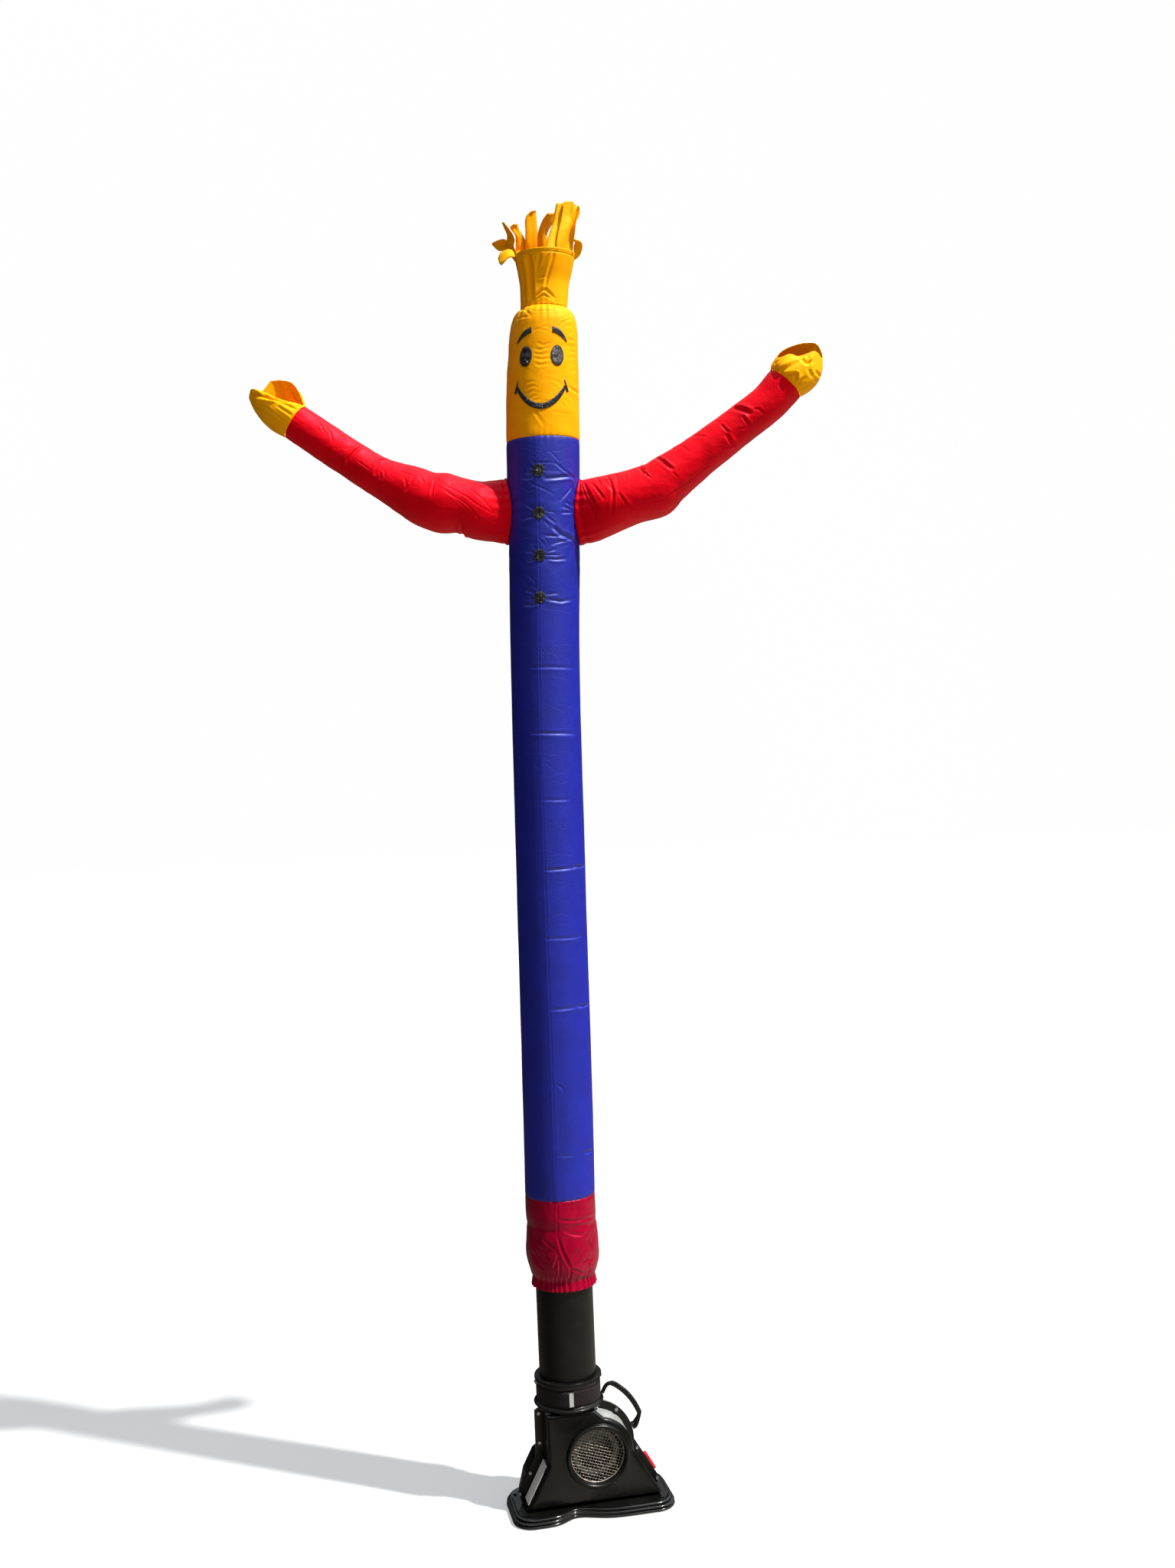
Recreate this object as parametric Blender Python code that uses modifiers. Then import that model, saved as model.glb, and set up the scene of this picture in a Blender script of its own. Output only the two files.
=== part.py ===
"""Inflatable scarecrow: a sewn figure, blown up by the fan housing that it stands on.

Metres, +Z up. The origin is on the floor under the middle of the housing's base,
-Y is the front and +X is the right side of someone who looks at the face.
The figure is modelled about the duct pipe's axis and is turned a little about it.
"""
from collections import namedtuple
from math import atan2, cos, exp, hypot, pi, radians, sin, sqrt

import bmesh
import bpy
from mathutils import Matrix, Vector

# Driving sizes of the figure
DUCT_X = -0.038
FIGURE_TURN = radians(-13.5)
CLOTH = 0.0012
GAP = 0.0003
CLOTH_GAP = 0.0005
ROOT_GAP = 0.0011
TUBE_SIDES = 24
HAIR_SIDES = 30
ARM_SIDES = 18
HAND_SIDES = 20
CUFF_GATHERS = 14
CUFF_SIDES = 3 * CUFF_GATHERS

# Driving sizes of the housing
PIPE_RADIUS = 0.0635
PIPE_WALL = 0.003
PIPE_TOP = 0.600
PIPE_FOOT = 0.2385
BASE_TOP = 0.020
INLET = Vector((0.012, 0.0, 0.126))
INLET_RADIUS = 0.0618
SCROLL_RADIUS = 0.083
SHELL_WALL = 0.0025
FRONT_DEPTH = 0.058
REAR_DEPTH = 0.070
SEAM_Y = 0.0027
SHELL_FOOT = 0.023
SHELL_TOP = 0.2285
MESH_PITCH = 0.0127
MESH_WIRE = 0.0016
MESH_TURN = radians(-20.0)

Ring = namedtuple("Ring", "z radius lean")
Crease = namedtuple("Crease", "z depth azimuth spread")
Section = namedtuple("Section", "x z half_height half_depth")
MouthSection = namedtuple("MouthSection", "x z direction half_width half_depth near_rise far_rise")
Fold = namedtuple("Fold", "azimuth width depth")
Strip = namedtuple("Strip", "azimuth via tip half_width turn point")

# The blue tube, from the cuff's seam to the neck seam
BODY_RINGS = (
    Ring(0.7035, 0.0780, -0.0015),
    Ring(0.8040, 0.0780, 0.0000),
    Ring(1.4310, 0.0770, 0.0060),
    Ring(1.9800, 0.0770, 0.0140),
    Ring(2.1200, 0.0785, 0.0190),
    Ring(2.2100, 0.0785, 0.0210),
    Ring(2.3000, 0.0805, 0.0235),
    Ring(2.3695, 0.0810, 0.0255),
)
BODY_CREASES = (
    Crease(0.804, 0.0025, 60.0, 70.0),
    Crease(1.125, 0.0025, 60.0, 60.0),
    Crease(1.280, 0.0015, 10.0, 60.0),
    Crease(1.431, 0.0025, 60.0, 60.0),
    Crease(1.727, 0.0015, 10.0, 60.0),
)
CREASE_REACH = 0.010

# The yellow head with its drawn-in dome
HEAD_RINGS = (
    Ring(2.3699, 0.0810, 0.0255),
    Ring(2.4100, 0.0810, 0.0268),
    Ring(2.4500, 0.0810, 0.0280),
    Ring(2.4900, 0.0800, 0.0296),
    Ring(2.5300, 0.0787, 0.0314),
    Ring(2.5550, 0.0765, 0.0330),
    Ring(2.5850, 0.0768, 0.0345),
    Ring(2.6090, 0.0746, 0.0363),
    Ring(2.6330, 0.0705, 0.0379),
    Ring(2.6500, 0.0626, 0.0384),
    Ring(2.6590, 0.0525, 0.0390),
)
DOME_START = 2.585
DOME_PUCKER = 0.0011

# The hair tube flares upwards in a few deep folds
HAIR_RINGS = (
    Ring(2.6597, 0.0513, 0.0390),
    Ring(2.6850, 0.0520, 0.0405),
    Ring(2.7150, 0.0535, 0.0420),
    Ring(2.7440, 0.0600, 0.0440),
    Ring(2.7680, 0.0650, 0.0450),
)
HAIR_FOLDS = (
    Fold(-42.0, 11.0, 0.0075),
    Fold(4.0, 9.0, 0.0030),
    Fold(62.0, 14.0, 0.0030),
    Fold(130.0, 16.0, 0.0050),
    Fold(-128.0, 16.0, 0.0045),
)
FOLD_START = 2.672
FOLD_FULL = 2.715
BAND_FOOT = 2.7684
BAND_TOP = 2.7780
BAND_RADIUS = 0.0660
STRIP_REACH = 13.6
STRIP_STEPS = 5

# Loose ends of the hair, each with a point that it passes and the place of its tip
HAIR_STRIPS = (
    Strip(-165.0, (0.030, 0.092, 2.852), (0.026, 0.108, 2.832), 0.012, 20.0, 0.8),
    Strip(-135.0, (-0.010, 0.052, 2.832), (-0.040, 0.034, 2.864), 0.01, 30.0, 0.3),
    Strip(-105.0, (-0.052, 0.014, 2.811), (-0.052, -0.002, 2.770), 0.01, 30.0, 0.8),
    Strip(-75.0, (-0.033, -0.030, 2.796), (-0.064, -0.034, 2.800), 0.01, 35.0, 0.1),
    Strip(-45.0, (-0.010, -0.052, 2.801), (-0.017, -0.046, 2.834), 0.01, 40.0, 0.4),
    Strip(-15.0, (0.019, -0.070, 2.807), (0.019, -0.058, 2.856), 0.0115, 5.0, 0.9),
    Strip(15.0, (0.043, -0.072, 2.814), (0.066, -0.058, 2.852), 0.012, 25.0, 0.8),
    Strip(45.0, (0.093, -0.054, 2.832), (0.102, -0.044, 2.878), 0.011, 10.0, 1.0),
    Strip(75.0, (0.137, -0.030, 2.826), (0.118, -0.036, 2.758), 0.009, 30.0, 0.6),
    Strip(105.0, (0.108, 0.020, 2.837), (0.114, 0.014, 2.867), 0.007, 60.0, 0.9),
    Strip(135.0, (0.103, 0.050, 2.875), (0.118, 0.032, 2.885), 0.01, 40.0, 0.6),
    Strip(165.0, (0.070, 0.066, 2.872), (0.084, 0.058, 2.909), 0.01, -15.0, 0.9),
)

# Arms from the shoulder to the wrist, and the direction in which each wrist points
ARM_LEFT = (
    Section(-0.085, 2.223, 0.0680, 0.0500),
    Section(-0.120, 2.226, 0.0645, 0.0600),
    Section(-0.160, 2.238, 0.0605, 0.0610),
    Section(-0.199, 2.245, 0.0665, 0.0650),
    Section(-0.235, 2.255, 0.0620, 0.0620),
    Section(-0.270, 2.274, 0.0570, 0.0570),
    Section(-0.310, 2.294, 0.0485, 0.0500),
    Section(-0.345, 2.313, 0.0430, 0.0440),
    Section(-0.397, 2.348, 0.0415, 0.0415),
    Section(-0.460, 2.393, 0.0410, 0.0410),
    Section(-0.5197, 2.4371, 0.0406, 0.0406),
)
ARM_RIGHT = (
    Section(0.126, 2.2165, 0.0695, 0.0520),
    Section(0.150, 2.223, 0.0665, 0.0610),
    Section(0.210, 2.240, 0.0600, 0.0610),
    Section(0.250, 2.250, 0.0600, 0.0600),
    Section(0.271, 2.257, 0.0605, 0.0590),
    Section(0.296, 2.276, 0.0550, 0.0560),
    Section(0.340, 2.306, 0.0490, 0.0490),
    Section(0.388, 2.339, 0.0450, 0.0450),
    Section(0.465, 2.393, 0.0426, 0.0426),
    Section(0.5235, 2.435, 0.0425, 0.0425),
    Section(0.5637, 2.4766, 0.0437, 0.0437),
)
LEFT_WRIST_DIRECTION = radians(144.0)
RIGHT_WRIST_DIRECTION = radians(46.5)
ROOT_LEFT_Z = 2.221
ROOT_RIGHT_Z = 2.213
ROOT_HALF_HEIGHT = 0.0735
ROOT_HALF_DEPTH = 0.040
PORT_HALF_HEIGHT = 0.067
PORT_HALF_DEPTH = 0.033
PORT_SIDES = 20
PORT_REACH = 0.08

# Open hands, from the wrist to the rim of the open mouth
HAND_LEFT = (
    MouthSection(-0.5203, 2.4375, 144.0, 0.0406, 0.0406, 0.0, 0.0),
    MouthSection(-0.5393, 2.4535, 119.5, 0.0457, 0.0380, 0.0, 0.004),
    MouthSection(-0.5543, 2.4665, 104.6, 0.0535, 0.0310, 0.0, 0.012),
    MouthSection(-0.5640, 2.4853, 88.3, 0.0580, 0.0260, -0.008, 0.026),
    MouthSection(-0.5605, 2.5010, 74.8, 0.0534, 0.0230, -0.020, 0.036),
)
HAND_RIGHT = (
    MouthSection(0.5643, 2.4772, 46.5, 0.0437, 0.0437, 0.0, 0.0),
    MouthSection(0.5815, 2.4940, 48.5, 0.0514, 0.0430, 0.0, 0.0),
    MouthSection(0.5940, 2.5080, 58.5, 0.0551, 0.0390, 0.0, 0.006),
    MouthSection(0.6005, 2.5270, 77.0, 0.0518, 0.0360, -0.003, 0.018),
    MouthSection(0.5990, 2.5405, 96.0, 0.0495, 0.0340, -0.006, 0.031),
)
RISE_POWER = 1.6

# The burgundy cuff, down to the elastic that grips the pipe and the frill under it
CUFF_RINGS = (
    Ring(0.7031, 0.0780, -0.0015),
    Ring(0.6520, 0.0777, -0.0015),
    Ring(0.6400, 0.0762, -0.0012),
    Ring(0.6280, 0.0775, -0.0010),
    Ring(0.5450, 0.0770, -0.0002),
    Ring(0.5310, 0.0735, 0.0000),
    Ring(0.5240, 0.0705, 0.0000),
    Ring(0.5130, 0.0715, 0.0000),
    Ring(0.5020, 0.0735, 0.0000),
)
GATHER_DEPTHS = (0.0, 0.0, 0.0002, 0.0004, 0.0010, 0.0030, 0.0050, 0.0045, 0.0050)

# What is sewn on: buttons down the front, two eyes, two brows and the smile
BUTTON_RADIUS = 0.0133
BUTTON_AZIMUTH = -5.2
BUTTON_HEIGHTS = (2.296, 2.204, 2.113, 2.022)
EYE_AZIMUTH = 26.0
EYE_Z = 2.543
EYE_HALF_WIDTH = 0.0150
EYE_HALF_HEIGHT = 0.0224
BROW_INNER_AZIMUTH = 17.3
BROW_OUTER_AZIMUTH = 43.7
BROW_INNER_Z = 2.599
BROW_DROP = 0.024
BROW_THICK = 0.009
MOUTH_AZIMUTH = 41.0
MOUTH_LOW_Z = 2.433
MOUTH_RISE = 0.047
MOUTH_THICK = 0.010
TICK_UP = 0.014
TICK_DOWN = 0.008
PATCH_SIDES = 12
BROW_STEPS = 8
MOUTH_STEPS = 18

# The base pan's outline and the stacked ridges of its rim, floor to deck
BASE_HALF_WIDTH = 0.183
FRONT_HALF_DEPTH = 0.098
REAR_HALF_DEPTH = 0.086
FRONT_CORNER = 0.044
REAR_CORNER = 0.060
EDGE_REACH = 1.45
BASE_SIDES = 40
WAVE_DEPTH = 0.026
WAVE_X = -0.043
WAVE_REACH_LEFT = 0.032
WAVE_REACH_RIGHT = 0.055
Ridge = namedtuple("Ridge", "z inset")
BASE_RIDGES = (
    Ridge(0.0000, 0.0060),
    Ridge(0.0030, 0.0010),
    Ridge(0.0065, 0.0000),
    Ridge(0.0090, 0.0030),
    Ridge(0.0125, 0.0006),
    Ridge(0.0165, 0.0040),
    Ridge(0.0200, 0.0080),
)
TIE_DOWN_SLOT = (0.014, 0.006, 0.05)
TIE_DOWN_PLACES = ((-0.153, -0.069, 0.0), (0.149, -0.070, 0.0), (-0.162, 0.040, 90.0), (0.166, 0.040, 90.0))

# The housing's front outline: straight corners, then the scroll round the inlet
SLOPE_FOOT_LEFT = (-0.150, SHELL_FOOT)
KNEE_LEFT = (-0.099, 0.118)
NECK_LEFT = (-0.099, SHELL_TOP)
SLOPE_FOOT_RIGHT = (0.1555, SHELL_FOOT)
SCROLL_TOP_ANGLE = radians(78.0)
SCROLL_END_ANGLE = radians(0.0)
POLAR_STEP = radians(12.0)
FLANGE_LEFT = 0.0185
FLANGE_START = 0.06
FLANGE_RIGHT = 0.013
FLANGE_SCROLL_TOP = 0.020
FLANGE_NECK = 0.0015
FLANGE_FOOT = 0.0022
EDGE_ROUND = 0.009
REAR_BULGE = 0.012

LABEL_SIZE = (0.092, 0.038, 0.0010)
LABEL_Y = -0.0265
LABEL_RISE = 0.002

Bolt = namedtuple("Bolt", "name x z radius")
SEAM_BOLTS = (
    Bolt("bolt_lug", -0.1095, 0.2150, 0.0040),
    Bolt("bolt_neck", -0.1095, 0.1490, 0.0040),
    Bolt("bolt_left_upper", -0.1330, 0.0840, 0.0035),
    Bolt("bolt_left_lower", -0.1575, 0.0400, 0.0035),
    Bolt("bolt_right_upper", 0.1135, 0.1085, 0.0036),
    Bolt("bolt_right_lower", 0.1580, 0.0330, 0.0036),
    Bolt("bolt_handle", 0.0690, 0.2010, 0.0040),
)
BOLT_HEAD = 0.0045
BOLT_SIDES = 8
COLLAR_BOLT_Z = 0.2844
COLLAR_BOLT_REACH = 0.0738
COLLAR_BOLT_RADIUS = 0.0030
COLLAR_BOLT_LENGTH = 0.012

HandlePoint = namedtuple("HandlePoint", "x z radius")
HANDLE_POINTS = (
    HandlePoint(0.0394, 0.2413, 0.0042),
    HandlePoint(0.0428, 0.2480, 0.0043),
    HandlePoint(0.0480, 0.2560, 0.0043),
    HandlePoint(0.0550, 0.2603, 0.0044),
    HandlePoint(0.0640, 0.2588, 0.0045),
    HandlePoint(0.0770, 0.2500, 0.0046),
    HandlePoint(0.0930, 0.2350, 0.0047),
    HandlePoint(0.1070, 0.2170, 0.0047),
    HandlePoint(0.1180, 0.1970, 0.0045),
    HandlePoint(0.1228, 0.1845, 0.0045),
    HandlePoint(0.1200, 0.1755, 0.0052),
    HandlePoint(0.1158, 0.1670, 0.0066),
    HandlePoint(0.1110, 0.1602, 0.0080),
    HandlePoint(0.1052, 0.1581, 0.0086),
)

# The collar's section, the webbing strap round it, its tag and the fan behind the mesh
COLLAR_RADIUS = 0.0705
COLLAR_RIM = 0.0780
COLLAR_BORE = 0.0560
COLLAR_TOP = 0.2980
COLLAR_FOOT = 0.2307
STRAP_LOW = 0.2450
STRAP_HIGH = 0.2810
STRAP_INNER = 0.0709
STRAP_WEB = 0.0013
STRAP_START = radians(-17.0)
STRAP_OVERLAP = radians(16.0)
STRAP_STEPS = 40
TAG_AZIMUTH = radians(-6.3)
TAG_SIZE = (0.0094, 0.0010, 0.0300)
TAG_STAND_OFF = 0.0008
FAN_RADIUS = 0.052
FAN_FRONT = -0.036
FAN_BACK = 0.016
FAN_BLADES = 10
FAN_DISC = 0.003
FAN_RING_WIDTH = 0.012
BLADE_SIZE = (0.009, 0.052, 0.0014)
BLADE_INSET = 0.0058
BLADE_PITCH = radians(35.0)
MOTOR_RADIUS = 0.030
MOTOR_HUMP = 0.014
MESH_Y = -0.0530
LIP_FRONT = -0.0672
NECK_RADIUS = 0.044
ROUND_SIDES = 28
MESH_SIDES = 36
MESH_RIM = 0.0025
PIPE_SIDES = 30

# Colours as red, green, blue, then roughness and metallic
BLUE = (0.022, 0.020, 0.36, 0.45, 0.0)
YELLOW = (1.0, 0.40, 0.005, 0.5, 0.0)
RED = (0.60, 0.004, 0.012, 0.5, 0.0)
BURGUNDY = (0.30, 0.006, 0.035, 0.45, 0.0)
CLOTH_BLACK = (0.012, 0.012, 0.014, 0.4, 0.0)
PIPE_BLACK = (0.020, 0.020, 0.018, 0.6, 0.0)
GLOSS_BLACK = (0.010, 0.010, 0.011, 0.25, 0.0)
WEBBING = (0.020, 0.012, 0.014, 0.8, 0.0)
TAG_GREY = (0.42, 0.42, 0.40, 0.7, 0.0)
WIRE = (0.45, 0.40, 0.32, 0.4, 0.8)
SWITCH_RED = (0.60, 0.012, 0.020, 0.3, 0.0)
STEEL = (0.35, 0.35, 0.34, 0.35, 0.9)


def clear_scene():
    for item in list(bpy.data.objects):
        bpy.data.objects.remove(item, do_unlink=True)


def new_collection(name):
    group = bpy.data.collections.new(name)
    bpy.context.scene.collection.children.link(group)
    return group


def finish_material(name, look):
    """A plain surface in the object's own colour."""
    material = bpy.data.materials.new(name + "_finish")
    material.use_nodes = True
    shader = material.node_tree.nodes["Principled BSDF"]
    shader.inputs["Base Color"].default_value = (look[0], look[1], look[2], 1.0)
    shader.inputs["Roughness"].default_value = look[3]
    shader.inputs["Metallic"].default_value = look[4]
    return material


def add_object(name, data, look, parent=None):
    item = bpy.data.objects.new(name, data)
    data.materials.append(finish_material(name, look))
    item.parent = parent
    PARTS.objects.link(item)
    return item


def as_cutter(item):
    """A shape that only cuts its neighbours."""
    for group in list(item.users_collection):
        group.objects.unlink(item)
    CUTTERS.objects.link(item)
    item.hide_render = True
    item.display_type = "WIRE"
    return item


def mesh_from(name, build):
    """Make a mesh from a function that fills a bmesh."""
    shape = bmesh.new()
    build(shape)
    mesh = bpy.data.meshes.new(name)
    shape.to_mesh(mesh)
    shape.free()
    return mesh


def smooth(item, angle=40.0):
    item.data.shade_smooth()
    item.data.set_sharp_from_angle(angle=radians(angle))
    return item


def add_cut(item, cutter, name):
    cut = item.modifiers.new(name, "BOOLEAN")
    cut.operation = "DIFFERENCE"
    cut.solver = "EXACT"
    cut.object = cutter
    return cut


def add_join(item, other, name):
    join = item.modifiers.new(name, "BOOLEAN")
    join.operation = "UNION"
    join.solver = "EXACT"
    join.object = other
    return join


def add_thickness(item, thickness, offset=-1.0):
    solid = item.modifiers.new("thickness", "SOLIDIFY")
    solid.thickness = thickness
    solid.offset = offset
    return solid


def skin_rings(shape, rings, cap_first=False, cap_last=False):
    """Join closed rings of equal point counts into one sheet."""
    rows = []
    for ring in rings:
        rows.append([shape.verts.new(point) for point in ring])
    for lower, upper in zip(rows, rows[1:]):
        count = len(lower)
        for index in range(count):
            after = (index + 1) % count
            shape.faces.new((lower[index], lower[after], upper[after], upper[index]))
    if cap_first:
        shape.faces.new(list(reversed(rows[0])))
    if cap_last:
        shape.faces.new(rows[-1])


def lofted(name, rings, look, parent=None, cap_first=False, cap_last=False):
    """A skin through unlike sections, listed so that its faces point outwards."""
    mesh = mesh_from(name, lambda shape: skin_rings(shape, rings, cap_first, cap_last))
    return smooth(add_object(name, mesh, look, parent))


def turned(name, profile, sides, look, location=(0.0, 0.0, 0.0), parent=None):
    """A closed profile of (radius, z), down its outer side first, turned about Z."""
    mesh = bpy.data.meshes.new(name)
    count = len(profile)
    points = [(radius, 0.0, z) for radius, z in profile]
    edges = [(index, (index + 1) % count) for index in range(count)]
    mesh.from_pydata(points, edges, [])
    item = add_object(name, mesh, look, parent)
    item.location = location
    screw = item.modifiers.new("turn", "SCREW")
    screw.axis = "Z"
    screw.angle = 2.0 * pi
    screw.steps = sides
    screw.render_steps = sides
    screw.use_merge_vertices = True
    screw.merge_threshold = 0.00001
    screw.use_smooth_shade = True
    return item


def cylinder(name, radius, length, sides, look, matrix, parent=None):
    """A round bar about its own Z, placed by a matrix."""
    def build(shape):
        bmesh.ops.create_cone(
            shape, cap_ends=True, segments=sides, radius1=radius, radius2=radius, depth=length
        )
    item = add_object(name, mesh_from(name, build), look, parent)
    item.matrix_local = matrix
    return smooth(item)


def box(name, size, look, matrix, parent=None, bevel=0.0):
    """A block of the given size, with a small bevel if asked."""
    def build(shape):
        bmesh.ops.create_cube(shape, size=1.0, matrix=Matrix.Diagonal((*size, 1.0)))
    item = add_object(name, mesh_from(name, build), look, parent)
    item.matrix_local = matrix
    if bevel:
        edge = item.modifiers.new("edge", "BEVEL")
        edge.width = bevel
        edge.segments = 2
    return item


def at_height(rings, z):
    """Radius and sideways lean of a table of rings at one height."""
    table = sorted(rings)
    if z <= table[0].z:
        return table[0].radius, table[0].lean
    for lower, upper in zip(table, table[1:]):
        if z <= upper.z:
            share = (z - lower.z) / (upper.z - lower.z)
            radius = lower.radius + share * (upper.radius - lower.radius)
            lean = lower.lean + share * (upper.lean - lower.lean)
            return radius, lean
    return table[-1].radius, table[-1].lean


def around(lean, radius, azimuth, z):
    """A point on a round section: azimuth 0 is the face, and it grows to the right."""
    return Vector((lean + radius * sin(azimuth), -radius * cos(azimuth), z))


def turn_angles(count):
    return [2.0 * pi * index / count for index in range(count)]


def azimuth_between(a, b):
    """Smallest difference of two directions, in degrees."""
    return (a - b + 180.0) % 360.0 - 180.0


def crease_dent(z, azimuth_deg):
    dent = 0.0
    for crease in BODY_CREASES:
        level = (z - crease.z) / (0.4 * CREASE_REACH)
        side = azimuth_between(azimuth_deg, crease.azimuth) / crease.spread
        dent += crease.depth * exp(-level * level) * exp(-side * side)
    return dent


def body_levels():
    levels = {ring.z for ring in BODY_RINGS}
    for crease in BODY_CREASES:
        levels.update((crease.z - CREASE_REACH, crease.z, crease.z + CREASE_REACH))
    return sorted(levels)


def body_rings():
    rings = []
    for z in body_levels():
        radius, lean = at_height(BODY_RINGS, z)
        ring = []
        for azimuth in turn_angles(TUBE_SIDES):
            dent = crease_dent(z, azimuth * 180.0 / pi)
            ring.append(around(lean, radius - dent, azimuth, z))
        rings.append(ring)
    return rings


def make_port(side, z):
    """The oval hole in the body under one arm's root."""
    radius, lean = at_height(BODY_RINGS, z)
    def build(shape):
        shrink = Matrix.Diagonal((PORT_HALF_HEIGHT, PORT_HALF_DEPTH, 1.0, 1.0))
        place = Matrix.Translation((lean + side * radius, 0.0, z))
        across = Matrix.Rotation(-0.5 * pi, 4, "Y")
        bmesh.ops.create_cone(
            shape, cap_ends=True, segments=PORT_SIDES, radius1=1.0, radius2=1.0, depth=PORT_REACH,
            matrix=place @ across @ shrink
        )
    name = "port_left" if side < 0 else "port_right"
    return as_cutter(add_object(name, mesh_from(name, build), BLUE, FIGURE))


def make_body_tube():
    tube = lofted("body_tube", body_rings(), BLUE, FIGURE)
    add_thickness(tube, CLOTH)
    add_cut(tube, make_port(-1.0, ROOT_LEFT_Z), "left_port")
    add_cut(tube, make_port(1.0, ROOT_RIGHT_Z), "right_port")


def make_head():
    rings = []
    for level in HEAD_RINGS:
        share = max(0.0, (level.z - DOME_START) / (HEAD_RINGS[-1].z - DOME_START))
        ring = []
        for index, azimuth in enumerate(turn_angles(TUBE_SIDES)):
            pucker = DOME_PUCKER * share * (index % 2)
            if level is HEAD_RINGS[-1]:
                pucker *= 0.4
            ring.append(around(level.lean, level.radius - pucker, azimuth, level.z))
        rings.append(ring)
    add_thickness(lofted("head", rings, YELLOW, FIGURE), CLOTH)


def hair_radius(radius, azimuth_deg, z):
    """The hair tube's radius with its lengthwise folds."""
    share = min(1.0, max(0.0, (z - FOLD_START) / (FOLD_FULL - FOLD_START)))
    for fold in HAIR_FOLDS:
        side = azimuth_between(azimuth_deg, fold.azimuth) / fold.width
        radius -= share * fold.depth * exp(-side * side)
    return radius


def make_hair_tube():
    rings = []
    for level in HAIR_RINGS:
        ring = []
        for azimuth in turn_angles(HAIR_SIDES):
            radius = hair_radius(level.radius, azimuth * 180.0 / pi, level.z)
            ring.append(around(level.lean, radius, azimuth, level.z))
        rings.append(ring)
    add_thickness(lofted("hair_tube", rings, YELLOW, FIGURE), CLOTH)


def strip_rows(strip, root):
    """Left, middle and right points of one loose end, from its root to its tip."""
    azimuth = radians(strip.azimuth)
    via = Vector(strip.via)
    tip = Vector(strip.tip)
    along_band = Vector((cos(azimuth), sin(azimuth), 0.0))
    rows = []
    for step in range(1, STRIP_STEPS + 1):
        t = step / STRIP_STEPS
        centre = (1 - t) ** 2 * root + 2 * t * (1 - t) * via + t * t * tip
        heading = (2 * (1 - t) * (via - root) + 2 * t * (tip - via)).normalized()
        twist = Matrix.Rotation(radians(strip.turn) * t, 3, heading)
        across = twist @ along_band
        across = (across - across.dot(heading) * heading).normalized()
        narrow = 1.0 if step < STRIP_STEPS else max(strip.point, 0.12)
        half = strip.half_width * narrow
        rows.append((centre - half * across, centre, centre + half * across))
    return rows


def fill_fringe(shape):
    """A narrow band round the hair tube's end, with the loose ends growing from it."""
    lean = HAIR_RINGS[-1].lean
    rings = []
    for z in (BAND_FOOT, BAND_TOP):
        ring = []
        for strip in HAIR_STRIPS:
            for offset in (-STRIP_REACH, 0.0, STRIP_REACH):
                degrees_round = strip.azimuth + offset
                wide = HAIR_RINGS[-1].radius if z == BAND_FOOT else BAND_RADIUS
                radius = hair_radius(wide, degrees_round, z)
                ring.append(shape.verts.new(around(lean, radius, radians(degrees_round), z)))
        rings.append(ring)
    lower, upper = rings
    count = len(lower)
    for index in range(count):
        after = (index + 1) % count
        shape.faces.new((lower[index], lower[after], upper[after], upper[index]))
    for number, strip in enumerate(HAIR_STRIPS):
        below = upper[3 * number:3 * number + 3]
        root = below[1].co.copy()
        for points in strip_rows(strip, root):
            above = [shape.verts.new(point) for point in points]
            shape.faces.new((below[0], below[1], above[1], above[0]))
            shape.faces.new((below[1], below[2], above[2], above[1]))
            below = above


def make_hair_fringe():
    fringe = add_object("hair_fringe", mesh_from("hair_fringe", fill_fringe), YELLOW, FIGURE)
    smooth(fringe)
    add_thickness(fringe, CLOTH)


def root_ring(side, z):
    """The arm's sewn edge, which follows the body tube's round side."""
    ring = []
    for angle in turn_angles(ARM_SIDES):
        y = ROOT_HALF_DEPTH * sin(angle)
        height = z + ROOT_HALF_HEIGHT * cos(angle)
        radius, lean = at_height(BODY_RINGS, height)
        reach = sqrt(radius * radius - y * y) + ROOT_GAP
        ring.append(Vector((lean + side * reach, y, height)))
    return ring


def section_ring(x, z, direction, half_height, half_depth, sides, near_rise=0.0, far_rise=0.0):
    """An oval across a direction in the figure's XZ plane; the -Y half may rise apart."""
    up = Vector((-sin(direction), 0.0, cos(direction)))
    if up.z < 0:
        up = -up
    forward = Vector((cos(direction), 0.0, sin(direction)))
    ring = []
    for angle in turn_angles(sides):
        lift = far_rise * max(0.0, sin(angle)) ** RISE_POWER + near_rise * max(0.0, -sin(angle))
        point = Vector((x, 0.0, z)) + half_height * cos(angle) * up + lift * forward
        point.y = half_depth * sin(angle)
        ring.append(point)
    return ring


def arm_rings(side, root_z, table, wrist_direction):
    radius, lean = at_height(BODY_RINGS, root_z)
    root = Section(lean + side * radius, root_z, ROOT_HALF_HEIGHT, ROOT_HALF_DEPTH)
    rings = [root_ring(side, root_z)]
    last = len(table) - 1
    for index, part in enumerate(table):
        before = table[index - 1] if index else root
        after = table[min(last, index + 1)]
        direction = atan2(after.z - before.z, after.x - before.x)
        if index == last:
            direction = wrist_direction
        rings.append(section_ring(part.x, part.z, direction, part.half_height, part.half_depth, ARM_SIDES))
    return rings


def make_arms():
    left = arm_rings(-1.0, ROOT_LEFT_Z, ARM_LEFT, LEFT_WRIST_DIRECTION)
    right = arm_rings(1.0, ROOT_RIGHT_Z, ARM_RIGHT, RIGHT_WRIST_DIRECTION)
    add_thickness(lofted("arm_left", left, RED, FIGURE), CLOTH)
    add_thickness(lofted("arm_right", [list(reversed(ring)) for ring in right], RED, FIGURE), CLOTH)


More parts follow.
